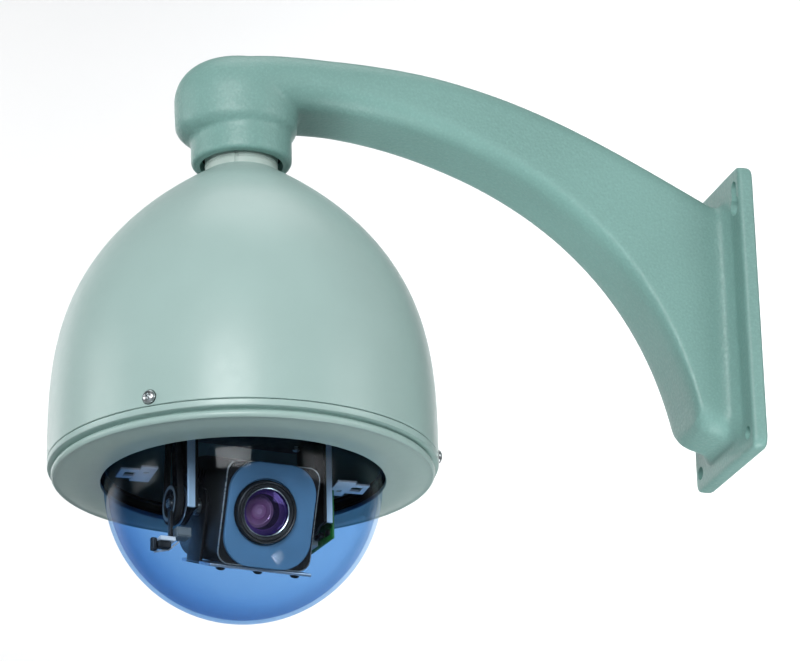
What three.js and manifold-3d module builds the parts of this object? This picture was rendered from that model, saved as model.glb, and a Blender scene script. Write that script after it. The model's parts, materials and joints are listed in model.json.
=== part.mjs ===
// Wall-mounted pan-tilt-zoom dome camera: a cast swan-neck wall bracket, a dome housing hung
// from it on a threaded neck, and the pan, tilt and lens mechanism inside the clear bubble.
// Units are millimetres, +Z is up, the wall is the plane X = 0 and the dome hangs towards -X.
// The origin is midway between the two lower fixing holes, on the back face of the wall plate.
import * as THREE from "three";
import { mergeVertices } from "three/addons/utils/BufferGeometryUtils.js";
import Module from "manifold-3d";

// ---------------------------------------------------------------- driving dimensions
const GAP = 0.3; // clearance left wherever two pieces seat on each other
const REACH = 340; // wall face to the vertical axis of the dome
const SEAM_Z = -32.5; // height of the joint between housing shell and trim ring
const PAN_REST = THREE.MathUtils.degToRad(7.5);
const TILT_REST = THREE.MathUtils.degToRad(20);

// Wall plate of the bracket
const PLATE_WIDTH = 106;
const PLATE_BOTTOM = -12.5;
const PLATE_TOP = 187.5;
const PLATE_THICK = 10.5;
const PLATE_CORNER = 7;
const HOLE_HALF_SPACING = 43;
const HOLE_RADIUS = 4.5;
const KEYHOLE_Z = 161;
const KEYHOLE_RISE = 13;
const KEYHOLE_SLOT = 4.3;
const KEYHOLE_EYE = 6.8;

// Curved arm, its head and its collar
const CAST_WALL = 5;
const HEAD_RADIUS = 37.5;
const HEAD_STRETCH = 1.187; // the head reaches further out on the side away from the wall
const HEAD_TOP = 246;
const HEAD_BOTTOM = 193;
const COLLAR_RADIUS = 33.2;
const COLLAR_BORE = 27.4;
const COLLAR_BOTTOM = 173.5;
const LEDGE_Z = 200; // the neck's locknut turns above this ledge

// Heights below are measured from the seam plane, radii from the dome axis.
const SHELL_RADIUS = 124.5;
const SHELL_HEIGHT = 213.5;
const SHELL_POWER = 3.15;
const SHELL_WALL = 3;
const NECK_RADIUS = 24;
const NECK_BORE = 18;
const NECK_SEAT = 188;
const RING_OPENING = 90.5;
const BUBBLE_RADIUS = 88.5;
const BUBBLE_WALL = 2.5;
const BUBBLE_CENTRE = -14;
const CHASSIS_Z = 72;
const CHASSIS_THICK = 2.5;
const CHASSIS_RADIUS = 104;
const PLATFORM_Z = 22;
const TILT_Z = -32;
const TILT_PULLEY_RADIUS = 12;
const TILT_PINION_RADIUS = 4;
const TILT_MOTOR_Z = 43.5;
const PAN_PULLEY_RADIUS = 30;
const PAN_PINION_RADIUS = 6;
const PAN_MOTOR_Y = 68;
const PAN_BELT_Z = 80;
const MOTOR_SHAFT = 2.5;
const BELT_THICK = 1.2;
const BELT_GAP = 0.6;
const BELT_STEPS = 14;

// Camera module, measured from the tilt axis with the lens along -Y
const CASE = { left: -27.5, right: 35.5, half: 33, front: -34, back: 38, corner: 13, wall: 2 };
const LENS_Z = 2;

const LATHE_STEPS = 32;
const FINE_STEPS = 16;
const SMALL_STEPS = 10;
const FULL_TURN = Math.PI * 2;
const DEG = Math.PI / 180;

// ---------------------------------------------------------------- solids
const wasm = await Module();
wasm.setup();

function solid(geometry) {
  const bare = geometry.index ? geometry.toNonIndexed() : geometry.clone();
  for (const name of ["normal", "uv"]) bare.deleteAttribute(name);
  const merged = mergeVertices(bare, 1e-4);
  const source = merged.index.array;
  const kept = [];
  for (let i = 0; i < source.length; i += 3) {
    const [a, b, c] = source.slice(i, i + 3);
    if (a !== b && b !== c && c !== a) kept.push(a, b, c);
  }
  const vertProperties = merged.attributes.position.array;
  return new wasm.Manifold(new wasm.Mesh({ numProp: 3, vertProperties, triVerts: new Uint32Array(kept) }));
}

const join = (first, ...rest) => rest.reduce((a, b) => a.add(b), first);
const cut = (first, ...rest) => rest.reduce((a, b) => a.subtract(b), first);

// Axis frames: each turns a shape drawn in (u, v) and extruded along w.
const V = (x, y, z) => new THREE.Vector3(x, y, z);
const FRAME_X = new THREE.Matrix4().makeBasis(V(0, 1, 0), V(0, 0, 1), V(1, 0, 0)); // u=Y v=Z w=X
const FRAME_Y = new THREE.Matrix4().makeBasis(V(-1, 0, 0), V(0, 0, 1), V(0, 1, 0)); // u=-X v=Z w=Y

// Solid of revolution from [radius, height] points; the outline closes on itself or the axis.
// Its -X half can be stretched along X.
function revolve(points, steps = LATHE_STEPS, stretch = 1) {
  let area = 0;
  points.forEach(([r, z], i) => {
    const [r2, z2] = points[(i + 1) % points.length];
    area += r * z2 - r2 * z;
  });
  const ordered = area > 0 ? [...points] : [...points].reverse();
  if (ordered.every(([r]) => r > 0)) ordered.push(ordered[0]);
  const outline = ordered.map(([r, z]) => new THREE.Vector2(r, z));
  const g = new THREE.LatheGeometry(outline, steps).rotateX(Math.PI / 2);
  const place = g.attributes.position;
  for (let i = 0; i < place.count; i++) {
    if (place.getX(i) < 0) place.setX(i, place.getX(i) * stretch);
  }
  return solid(g);
}

const ring = (inner, outer, low, high, steps = LATHE_STEPS) =>
  revolve([[inner, low], [outer, low], [outer, high], [inner, high]], steps);

function disc(radius, low, high, steps = FINE_STEPS) {
  const g = new THREE.CylinderGeometry(radius, radius, high - low, steps).rotateX(Math.PI / 2);
  return solid(g.translate(0, 0, (low + high) / 2));
}

// Round bar along X between two stations, at height z and depth y.
function barX(radius, from, to, y = 0, z = 0, steps = FINE_STEPS) {
  const g = new THREE.CylinderGeometry(radius, radius, to - from, steps).rotateZ(Math.PI / 2);
  return solid(g.translate((from + to) / 2, y, z));
}

function barY(radius, from, to, x = 0, z = 0, steps = FINE_STEPS) {
  const g = new THREE.CylinderGeometry(radius, radius, to - from, steps);
  return solid(g.translate(x, (from + to) / 2, z));
}

function block(x1, x2, y1, y2, z1, z2) {
  const g = new THREE.BoxGeometry(x2 - x1, y2 - y1, z2 - z1);
  return solid(g.translate((x1 + x2) / 2, (y1 + y2) / 2, (z1 + z2) / 2));
}

function roundedRect(u1, u2, v1, v2, radius) {
  const s = new THREE.Shape();
  s.moveTo(u1 + radius, v1);
  s.absarc(u2 - radius, v1 + radius, radius, -Math.PI / 2, 0);
  s.absarc(u2 - radius, v2 - radius, radius, 0, Math.PI / 2);
  s.absarc(u1 + radius, v2 - radius, radius, Math.PI / 2, Math.PI);
  s.absarc(u1 + radius, v1 + radius, radius, Math.PI, Math.PI * 1.5);
  return s;
}

function polygon(points) {
  return new THREE.Shape(points.map(([u, v]) => new THREE.Vector2(u, v)));
}

function extrude(shape, low, high, frame, curveSegments = 6) {
  const g = new THREE.ExtrudeGeometry(shape, { depth: high - low, bevelEnabled: false, curveSegments });
  g.translate(0, 0, low);
  if (frame) g.applyMatrix4(frame);
  return solid(g);
}

// Rounded block standing along Y; x runs left to right.
const slabY = (x1, x2, z1, z2, radius, y1, y2) =>
  extrude(roundedRect(-x2, -x1, z1, z2, radius), y1, y2, FRAME_Y);

// Closed belt round two wheels; centres at (0, 0) and (0, span) in the drawing plane.
function beltShape(span, bigRadius, smallRadius) {
  const outline = (grow) => {
    const big = bigRadius + grow;
    const small = smallRadius + grow;
    const lean = Math.asin((big - small) / span);
    const s = new THREE.Path();
    s.absarc(0, 0, big, Math.PI - lean, lean + FULL_TURN, false);
    s.absarc(0, span, small, lean, Math.PI - lean, false);
    s.closePath();
    return s;
  };
  const shape = new THREE.Shape(outline(BELT_GAP + BELT_THICK).getPoints(BELT_STEPS));
  shape.holes.push(new THREE.Path(outline(BELT_GAP).getPoints(BELT_STEPS)));
  return shape;
}

const aroundZ = (part, degrees) => part.rotate([0, 0, degrees]);
const moved = (part, x, y, z) => part.translate([x, y, z]);

// Loft through closed loops of equal length, capped at both ends.
function loft(loops) {
  const count = loops[0].length;
  const positions = loops.flat().flatMap((p) => [p.x, p.y, p.z]);
  const index = [];
  for (let i = 0; i + 1 < loops.length; i++) {
    for (let k = 0; k < count; k++) {
      const a = i * count + k;
      const b = i * count + ((k + 1) % count);
      index.push(a, b, a + count, b, b + count, a + count);
    }
  }
  const last = (loops.length - 1) * count;
  for (let k = 1; k + 1 < count; k++) {
    index.push(0, k + 1, k);
    index.push(last, last + k, last + k + 1);
  }
  const g = new THREE.BufferGeometry();
  g.setAttribute("position", new THREE.Float32BufferAttribute(positions, 3));
  g.setIndex(index);
  return solid(g);
}

// ---------------------------------------------------------------- materials and node list
const finish = (color, roughness, metalness, extra = {}) => ({ color, roughness, metalness, ...extra });
const FINISH = {
  hammered: finish(0x9fbcb0, 0.5, 0.1),
  satin: finish(0xb3c1bb, 0.45, 0.1),
  steel: finish(0xb9bec2, 0.3, 1),
  aluminium: finish(0xc4c9cd, 0.4, 1),
  brass: finish(0xc2a25a, 0.35, 1),
  black: finish(0x17181a, 0.6, 0),
  blackMetal: finish(0x1d1f21, 0.5, 0.6),
  rubber: finish(0x202124, 0.85, 0),
  faceGrey: finish(0x6f8598, 0.5, 0),
  white: finish(0xe4e8ea, 0.5, 0.2),
  board: finish(0x1f6b34, 0.5, 0),
  grey: finish(0x7b7f80, 0.6, 0),
  clear: finish(0xdfeaf2, 0.05, 0, { transparent: true, opacity: 0.25 }),
  lens: finish(0x5a3f86, 0.05, 0),
};

const object = new THREE.Group();
const dome = new THREE.Group();
const panGroup = new THREE.Group();
const tiltGroup = new THREE.Group();
dome.position.set(-REACH, 0, SEAM_Z);
panGroup.rotation.z = PAN_REST;
tiltGroup.position.z = TILT_Z;
tiltGroup.rotation.x = TILT_REST;
object.add(dome);
dome.add(panGroup);
panGroup.add(tiltGroup);

function piece(group, name, look, part) {
  const { vertProperties, triVerts } = part.getMesh();
  const g = new THREE.BufferGeometry();
  g.setAttribute("position", new THREE.BufferAttribute(new Float32Array(vertProperties), 3));
  g.setIndex(new THREE.BufferAttribute(new Uint32Array(triVerts), 1));
  g.computeVertexNormals();
  const mesh = new THREE.Mesh(g, new THREE.MeshStandardMaterial(FINISH[look]));
  mesh.name = name;
  group.add(mesh);
}

// ---------------------------------------------------------------- wall bracket
// Upper and lower edges of the arm in the plane of the arm, from the head to the plate.
const ARM_TOP = new THREE.CubicBezierCurve3(
  V(-REACH, 0, 244.8), V(-190, 0, 257), V(-124, 0, 224.6), V(-10, 0, 166.3));
const ARM_UNDER = new THREE.CurvePath();
ARM_UNDER.add(new THREE.CubicBezierCurve3(
  V(-REACH, 0, 199), V(-315, 0, 223), V(-76, 0, 219.5), V(-37, 0, 14)));
ARM_UNDER.add(new THREE.QuadraticBezierCurve3(V(-37, 0, 14), V(-34.5, 0, 4), V(-10, 0, 3)));
const ARM_STATIONS = 16;
const ARM_HALF_WIDTHS = [37, 27, 27.5];
const ARM_CORNER = 15;
const ARM_CORNER_AT_HEAD = 22;
const ARM_CORNER_BLEND = 0.35; // share of the arm over which the corners tighten
const CORNER_STEPS = 2;

// One section of the arm: a rounded rectangle between the two edges, drawn in by `inset`.
function armSection(top, under, halfWidth, corner0, inset) {
  const centre = top.clone().add(under).multiplyScalar(0.5);
  const half = top.clone().sub(under).multiplyScalar(0.5);
  const depth = half.length() - inset;
  const width = halfWidth - inset;
  const across = half.normalize();
  const corner = Math.min(corner0 - inset * 0.6, depth * 0.95, width * 0.8);
  const loop = [];
  for (let quarter = 0; quarter < 4; quarter++) {
    for (let k = 0; k <= CORNER_STEPS; k++) {
      const angle = (quarter + k / CORNER_STEPS) * 90 * DEG;
      const c = Math.cos(angle);
      const s = Math.sin(angle);
      const sideY = quarter === 0 || quarter === 3 ? 1 : -1;
      const sideN = quarter < 2 ? 1 : -1;
      const y = sideY * (width - corner) + corner * c;
      const n = sideN * (depth - corner) + corner * s;
      loop.push(centre.clone().addScaledVector(across, n).add(V(0, y, 0)));
    }
  }
  return loop;
}

function armLoft(inset, endX) {
  const tops = ARM_TOP.getSpacedPoints(ARM_STATIONS);
  const unders = ARM_UNDER.getSpacedPoints(ARM_STATIONS);
  const [w0, w1, w2] = ARM_HALF_WIDTHS;
  const loops = tops.map((top, i) => {
    const t = i / ARM_STATIONS;
    const width = (1 - t) ** 2 * w0 + 2 * t * (1 - t) * w1 + t * t * w2;
    const extra = (ARM_CORNER_AT_HEAD - ARM_CORNER) * Math.max(0, 1 - t / ARM_CORNER_BLEND);
    return armSection(top, unders[i], width, ARM_CORNER + extra, inset);
  });
  loops.push(loops[ARM_STATIONS].map((p) => V(endX, p.y, p.z)));
  return loft(loops);
}

function wallPlate() {
  const half = PLATE_WIDTH / 2;
  return extrude(roundedRect(-half, half, PLATE_BOTTOM, PLATE_TOP, PLATE_CORNER), -PLATE_THICK, 0, FRAME_X);
}

// Round holes at the bottom and keyholes at the top, their slots pointing up.
function plateHoles() {
  const through = [-PLATE_THICK - 1, 1];
  return [-HOLE_HALF_SPACING, HOLE_HALF_SPACING].flatMap((y) => [
    barX(HOLE_RADIUS, ...through, y, 0, 16),
    barX(KEYHOLE_EYE, ...through, y, KEYHOLE_Z, 16),
    barX(KEYHOLE_SLOT, ...through, y, KEYHOLE_Z + KEYHOLE_RISE, 16),
    block(...through, y - KEYHOLE_SLOT, y + KEYHOLE_SLOT, KEYHOLE_Z, KEYHOLE_Z + KEYHOLE_RISE),
  ]);
}

// Head over the neck: egg-shaped in plan, well rounded on top, with a round collar below.
function bracketHead() {
  const round = { across: 24, up: 28, steps: 5 };
  const crown = Array.from({ length: round.steps + 1 }, (_, i) => {
    const angle = (i / round.steps) * 90 * DEG;
    const r = HEAD_RADIUS - round.across * (1 - Math.cos(angle));
    return [r, HEAD_TOP - 0.4 - round.up * (1 - Math.sin(angle))];
  });
  const head = revolve([
    [0, HEAD_BOTTOM - 1], [COLLAR_RADIUS - 1, HEAD_BOTTOM - 1], [HEAD_RADIUS - 2, HEAD_BOTTOM + 2],
    [HEAD_RADIUS, HEAD_BOTTOM + 7], ...crown, [0, HEAD_TOP],
  ], LATHE_STEPS, HEAD_STRETCH);
  const collar = disc(COLLAR_RADIUS, COLLAR_BOTTOM, HEAD_BOTTOM + 5, LATHE_STEPS);
  return moved(join(head, collar), -REACH, 0, 0);
}

function headCavity() {
  const inner = HEAD_RADIUS - CAST_WALL;
  return moved(revolve([
    [0, COLLAR_BOTTOM - 1], [COLLAR_BORE, COLLAR_BOTTOM - 1], [COLLAR_BORE, LEDGE_Z],
    [inner, LEDGE_Z], [inner, HEAD_TOP - 26], [inner - 7, HEAD_TOP - 13],
    [inner - 16, HEAD_TOP - CAST_WALL - 2.5], [0, HEAD_TOP - CAST_WALL - 1],
  ], 24), -REACH, 0, 0);
}

function buildBracket() {
  const body = join(armLoft(0, -PLATE_THICK / 2), wallPlate(), bracketHead());
  const hollow = [armLoft(CAST_WALL, 2), headCavity(), ...plateHoles()];
  piece(object, "bracket_arm", "hammered", cut(body, ...hollow));
}

// ---------------------------------------------------------------- neck and housing shell
const NECK_SCREW_ANGLES = [30, 150, 270];
const NECK_SCREW_RADIUS = 29; // pitch radius of the flange screws
const SCREW_CLEARANCE = 2.4;

// The three flange screw holes of the neck, between two heights.
function neckScrewHoles(low, high) {
  const hole = moved(disc(SCREW_CLEARANCE, low, high), NECK_SCREW_RADIUS, 0, 0);
  return NECK_SCREW_ANGLES.map((a) => aroundZ(hole, a));
}

function buildNeck() {
  const flangeLow = NECK_SEAT - GAP - 4;
  const pipe = revolve([
    [NECK_BORE, flangeLow], [34, flangeLow], [34, NECK_SEAT - GAP], [NECK_RADIUS, NECK_SEAT - GAP],
    [NECK_RADIUS, 243], [NECK_BORE, 243],
  ], 24);
  piece(dome, "neck_adapter", "steel", cut(pipe, ...neckScrewHoles(flangeLow - 1, NECK_SEAT)));
  piece(dome, "neck_seal", "rubber", ring(NECK_RADIUS + GAP, COLLAR_BORE - GAP, 213, 226, 20));
  const nut = cut(disc(31.8, 232.9, 240, 8), disc(NECK_RADIUS + GAP, 230, 242, 24));
  piece(dome, "neck_locknut", "steel", nut);
}

const shellRadius = (z) => SHELL_RADIUS * (1 - (z / SHELL_HEIGHT) ** SHELL_POWER);
const shellHeightAt = (r) => SHELL_HEIGHT * (1 - r / SHELL_RADIUS) ** (1 / SHELL_POWER);
const POST_RADIUS = 86;
const POST_ANGLES = [45, 180, 315];
const POST_TOP = 96;
const SPIGOT = SHELL_RADIUS - SHELL_WALL - 0.4;
const RING_SCREW_ANGLES = [228.5, 348.5, 108.5];
const RING_SCREW_Z = 6;

function shellOutside() {
  const stations = [0.5, 45, 80, 108, 130, 148, 164, 178, 189, 195];
  const wall = stations.map((z) => [shellRadius(z), z]);
  const top = shellHeightAt(NECK_RADIUS + GAP);
  return revolve([[0, 0.5], ...wall, [NECK_RADIUS + GAP, top], [0, top]]);
}

function shellInside() {
  const stations = [45, 80, 108, 130, 148, 164, 178];
  const wall = stations.map((z) => [shellRadius(z) - SHELL_WALL * (1 + (z / SHELL_HEIGHT) ** 2), z]);
  return revolve([[0, -1], [SHELL_RADIUS - SHELL_WALL, -1], ...wall, [35.5, NECK_SEAT], [0, NECK_SEAT]]);
}

function radialBar(radius, from, to, angle, z, steps = SMALL_STEPS) {
  return aroundZ(barX(radius, from, to, 0, z, steps), angle);
}

function buildShell() {
  const outside = shellOutside();
  const pillars = POST_ANGLES.map((a) => aroundZ(moved(disc(8, POST_TOP, 160), POST_RADIUS, 0, 0), a));
  const wall = cut(outside, shellInside());
  const cast = join(wall, ...pillars.map((p) => p.intersect(outside)));
  const ringScrewHoles = RING_SCREW_ANGLES.map((a) => radialBar(2.3, 110, 130, a, RING_SCREW_Z));
  const postHole = moved(disc(2.3, POST_TOP - 1, 106), POST_RADIUS, 0, 0);
  const postHoles = POST_ANGLES.map((a) => aroundZ(postHole, a));
  const neckHole = disc(NECK_RADIUS + GAP, NECK_SEAT - 1, 230, 24);
  const holes = [neckHole, ...neckScrewHoles(NECK_SEAT - 1, 193.5), ...ringScrewHoles, ...postHoles];
  piece(dome, "housing_shell", "satin", cut(cast, ...holes));
}

// ---------------------------------------------------------------- trim ring and bubble
const RING_SHELF = -5.4; // the clamp ring sits here
const RING_LIP_TOP = -10; // the bubble flange is trapped above this lip

const CLAMP_SCREW_RADIUS = 107.5;

// The three holes for the screws that hold the clamp ring, between two heights.
const clampScrewHoles = (low, high) =>
  RING_SCREW_ANGLES.map((a) => aroundZ(moved(disc(1.8, low, high), CLAMP_SCREW_RADIUS, 0, 0), a + 60));

function buildTrimRing() {
  const profile = [
    [SHELL_RADIUS, 0], [SHELL_RADIUS, -4.5], [121, -5], [120.3, -5.5], [121.7, -6.3], [122, -7.5],
    [121.4, -8.9], [119.8, -10], [118, -10.3], [RING_OPENING + 0.5, -13], [RING_OPENING, -12.5],
    [RING_OPENING, RING_LIP_TOP], [102, RING_LIP_TOP], [102, RING_SHELF], [116.5, RING_SHELF],
    [117.5, 14], [SPIGOT, 14], [SPIGOT, 3.2], [SPIGOT - 1.8, 3.2], [SPIGOT - 1.8, 0.6], [SPIGOT, 0.6],
    [SPIGOT, 0],
  ];
  const radialHoles = RING_SCREW_ANGLES.map((a) => radialBar(2.3, 112, 130, a, RING_SCREW_Z));
  piece(dome, "trim_ring", "satin", cut(revolve(profile), ...radialHoles, ...clampScrewHoles(-9, -5)));
  piece(dome, "ring_gasket", "rubber", ring(SPIGOT - 1.5, SPIGOT + 0.1, 0.9, 2.9));
  RING_SCREW_ANGLES.forEach((a, i) => {
    const head = barX(4, SHELL_RADIUS + 0.2, SHELL_RADIUS + 2.6, 0, RING_SCREW_Z, SMALL_STEPS);
    const shank = barX(2, 113, SHELL_RADIUS + 1, 0, RING_SCREW_Z, SMALL_STEPS);
    piece(dome, `ring_screw_${i + 1}`, "steel", aroundZ(join(head, shank), a));
  });
}

function buildBubble() {
  const inner = BUBBLE_RADIUS - BUBBLE_WALL;
  const arc = (r, from, to, n) => Array.from({ length: n + 1 }, (_, i) => {
    const a = (from + ((to - from) * i) / n) * DEG;
    return [Math.max(r * Math.cos(a), 0), BUBBLE_CENTRE - r * Math.sin(a)];
  });
  const flange = { low: -8.1, high: -5.7, rim: 101.5 };
  const profile = [
    ...arc(BUBBLE_RADIUS, 90, 0, 8), [BUBBLE_RADIUS, flange.low], [flange.rim, flange.low],
    [flange.rim, flange.high], [inner, flange.high], ...arc(inner, 0, 90, 7),
  ];
  piece(dome, "bubble", "clear", revolve(profile));
  piece(dome, "bubble_gasket", "rubber", ring(RING_OPENING + 1, 101, RING_LIP_TOP + GAP, flange.low - GAP));
  const clamp = ring(inner + 2, 112, RING_SHELF + GAP, -2.6);
  piece(dome, "bubble_clamp_ring", "blackMetal", cut(clamp, ...clampScrewHoles(-7, 0)));
}

// ---------------------------------------------------------------- fixed chassis and electrics
const BEARING_INNER = 12.3;
const BEARING_OUTER = 19;
const CHASSIS_TOP = CHASSIS_Z + CHASSIS_THICK;
const FAN = { x: 66, half: 20, opening: 18.3, low: CHASSIS_TOP + GAP, high: CHASSIS_TOP + 10 };
const EAR = { inner: 58.5, outer: 81, z: -12, sheet: 1.5 };
const BOARD_Z = 78;

function buildChassis() {
  const standoffs = [[-34, -86], [34, -86], [-34, -52], [34, -52]].map(([x, y]) =>
    moved(disc(3, CHASSIS_TOP - 1, BOARD_Z - GAP, 8), x, y, 0));
  const plate = join(disc(CHASSIS_RADIUS, CHASSIS_Z, CHASSIS_TOP, 32), ...standoffs);
  const holes = [
    disc(BEARING_OUTER + GAP, CHASSIS_Z - 1, CHASSIS_TOP + 1, 28),
    moved(disc(FAN.opening, CHASSIS_Z - 1, CHASSIS_TOP + 1), FAN.x, 0, 0),
    moved(disc(5.5, CHASSIS_Z - 1, CHASSIS_TOP + 1, SMALL_STEPS), 0, PAN_MOTOR_Y, 0),
    ...POST_ANGLES.map((a) => {
      const hole = disc(2.3, CHASSIS_Z - 1, CHASSIS_TOP + 1, SMALL_STEPS);
      return aroundZ(moved(hole, POST_RADIUS, 0, 0), a);
    }),
  ];
  piece(dome, "chassis_plate", "blackMetal", cut(plate, ...holes));
  POST_ANGLES.forEach((a, i) => {
    const post = join(
      disc(5, CHASSIS_TOP + GAP, POST_TOP - GAP, 12), disc(2, POST_TOP - 1, 104, SMALL_STEPS),
      disc(2, CHASSIS_Z - 1, CHASSIS_TOP + 1, SMALL_STEPS), disc(4.5, CHASSIS_Z - 3, CHASSIS_Z - GAP, 12));
    piece(dome, `chassis_post_${i + 1}`, "steel", aroundZ(moved(post, POST_RADIUS, 0, 0), a));
  });
}

// Sheet-metal ear: a foot with a square window, and a leg up to the chassis.
function buildEar(name, turn) {
  const foot = polygon([
    [EAR.inner, -14], [71, -14], [71, -9], [EAR.outer, -9],
    [EAR.outer, 8], [69, 8], [69, 14], [EAR.inner, 14],
  ]);
  foot.holes.push(polygon([[70.5, -5], [70.5, 3], [77.5, 3], [77.5, -5]]));
  const leg = block(EAR.outer - EAR.sheet, EAR.outer, -9, 8, EAR.z, CHASSIS_Z - GAP);
  const lug = moved(disc(2, EAR.z - 1, EAR.z + 3, 10), 64, 4, 0);
  const sheet = cut(join(extrude(foot, EAR.z, EAR.z + EAR.sheet), leg), lug);
  piece(dome, name, "white", aroundZ(sheet, turn));
}

function buildElectrics() {
  piece(dome, "power_board", "board", block(-40, 40, -92, -46, BOARD_Z, BOARD_Z + 1.6));
  const terminal = cut(
    block(-25, 25, -88, -76, BOARD_Z + 1.9, BOARD_Z + 13),
    ...[-18, -6, 6, 18].map((x) => block(x - 3, x + 3, -89, -80, BOARD_Z + 4, BOARD_Z + 9)));
  piece(dome, "terminal_block", "grey", terminal);
  const fins = [-17, -9, -1, 7, 15].map((y) => block(56, 76, y, y + 2, CHASSIS_Z - 10, CHASSIS_Z - 3));
  const heater = join(block(56, 76, -18, 18, CHASSIS_Z - 3.5, CHASSIS_Z - GAP), ...fins);
  piece(dome, "heater_block", "aluminium", aroundZ(heater, 225));
}

function buildFan() {
  const { x, half, opening, low, high } = FAN;
  const frame = extrude(roundedRect(-half, half, -half, half, 3), low, high);
  const strut = block(-opening - 1, opening + 1, -1, 1, low, low + 1.6);
  const struts = [0, 60, 120].map((a) => aroundZ(strut, a));
  const pierced = cut(frame, disc(opening, low - 1, high + 1, 24));
  const body = join(pierced, ...struts, disc(8, low, low + 1.6, 16));
  piece(dome, "fan_frame", "black", moved(body, x, 0, 0));
  const blade = block(6, opening - 1, -0.6, 0.6, -3.4, 3.4).rotate([38, 0, 0]);
  const blades = [0, 1, 2, 3, 4, 5, 6].map((i) => aroundZ(moved(blade, 0, 0, low + 5.6), (i * 360) / 7));
  const rotor = join(disc(7.5, low + 2, high - 0.4, 20), ...blades);
  piece(dome, "fan_rotor", "black", moved(rotor, x, 0, 0));
}

// ---------------------------------------------------------------- pan drive
const HUB_TOP = 90;

function buildPanDrive() {
  const bearing = revolve([
    [BEARING_INNER, 70], [15, 70], [15, 71], [16.3, 71], [16.3, 70], [BEARING_OUTER, 70],
    [BEARING_OUTER, 77], [BEARING_INNER, 77],
  ], 20);
  piece(dome, "pan_bearing", "steel", bearing);
  const can = cut(
    join(disc(20, 53, CHASSIS_Z - GAP, 24), disc(5, CHASSIS_Z - 1, CHASSIS_TOP, 12)),
    disc(MOTOR_SHAFT + GAP, CHASSIS_Z - 8, CHASSIS_TOP + 1, 12));
  piece(dome, "pan_motor", "blackMetal", moved(can, 0, PAN_MOTOR_Y, 0));
  const pinion = join(
    disc(PAN_PINION_RADIUS, PAN_BELT_Z, PAN_BELT_Z + 8, 20),
    disc(MOTOR_SHAFT, CHASSIS_Z - 7, PAN_BELT_Z + 9.5, 12));
  const notches = Array.from({ length: 10 }, (_, i) =>
    aroundZ(block(PAN_PINION_RADIUS - 0.6, 8, -0.5, 0.5, PAN_BELT_Z - 1, PAN_BELT_Z + 9), i * 36));
  piece(dome, "pan_pinion", "brass", moved(cut(pinion, ...notches), 0, PAN_MOTOR_Y, 0));
  const loop = beltShape(PAN_MOTOR_Y, PAN_PULLEY_RADIUS, PAN_PINION_RADIUS);
  piece(dome, "pan_belt", "rubber", extrude(loop, PAN_BELT_Z + 1.5, PAN_BELT_Z + 6.5));
}

function buildSlipRing() {
  const legs = [-1, 1].map((s) => block(s * 37 - 1.5, s * 37 + 1.5, -8, 8, CHASSIS_TOP + GAP, 93.6));
  const bridge = join(block(-38.5, 38.5, -8, 8, 91.6, 93.6), ...legs);
  piece(dome, "slip_ring_bridge", "blackMetal", cut(bridge, disc(7, 90, 95)));
  const stator = revolve([
    [5.6, 93.9], [17, 93.9], [17, 96], [13, 96], [13, 116], [5.6, 116],
  ], 18);
  piece(dome, "slip_ring_body", "black", cut(stator, block(-1.5, 1.5, 8, 15, 110, 117)));
  const rotor = revolve([[0, 64], [6.4, 64], [6.4, 88], [5, 89], [5, 114], [0, 114]], 20);
  piece(panGroup, "slip_ring_rotor", "grey", rotor);
}

function buildPanBody() {
  const hub = revolve([
    [7, PLATFORM_Z + 3 + GAP], [20, PLATFORM_Z + 3 + GAP], [20, PLATFORM_Z + 6], [12, PLATFORM_Z + 9],
    [12, HUB_TOP], [7, HUB_TOP],
  ], 28);
  piece(panGroup, "pan_hub", "aluminium", hub);
  const pulley = revolve([
    [BEARING_INNER, PAN_BELT_Z - 2], [18, PAN_BELT_Z - 2], [18, PAN_BELT_Z],
    [PAN_PULLEY_RADIUS, PAN_BELT_Z], [PAN_PULLEY_RADIUS, PAN_BELT_Z + 8],
    [BEARING_INNER, PAN_BELT_Z + 8],
  ], 28);
  piece(panGroup, "pan_pulley", "black", pulley);
  const deck = extrude(roundedRect(-42.5, 56, -30, 30, 10), PLATFORM_Z, PLATFORM_Z + 3);
  piece(panGroup, "pan_platform", "blackMetal", cut(deck, disc(6.7, PLATFORM_Z - 1, PLATFORM_Z + 4)));
}

// ---------------------------------------------------------------- tilt frame and drive
const ARM_LEFT = { web: [-41, -39], flange: [-46, -39], foot: [-41, -31] };
const ARM_RIGHT = { web: [46, 48], flange: [46, 52], foot: [38, 48] };
const ARM_FRONT = -22;
const ARM_FLANGE_LOW = TILT_Z - 8;
const BUSH_RADIUS = 6;
const SHAFT_RADIUS = 3;
const PULLEY_X = [-50.5, -44.5];
const BOARD_X = 54;

// One yoke arm: a web that narrows below the tilt axis, a front flange and a folded top foot.
function yokeArm(arm) {
  const [x1, x2] = arm.web;
  const top = PLATFORM_Z - GAP;
  const outline = polygon([
    [ARM_FRONT, top], [ARM_FRONT, ARM_FLANGE_LOW], [-14, ARM_FLANGE_LOW], [-5, TILT_Z - 13],
    [5, TILT_Z - 13], [11, TILT_Z - 9], [18, TILT_Z + 12], [22, top],
  ]);
  const web = extrude(outline, x1, x2, FRAME_X);
  const flange = block(...arm.flange, ARM_FRONT, ARM_FRONT + 2, ARM_FLANGE_LOW, top);
  const fold = block(...arm.foot, ARM_FRONT, -ARM_FRONT, top - 2, top);
  return cut(join(web, flange, fold), barX(BUSH_RADIUS + GAP, x1 - 1, x2 + 1, 0, TILT_Z));
}

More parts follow.
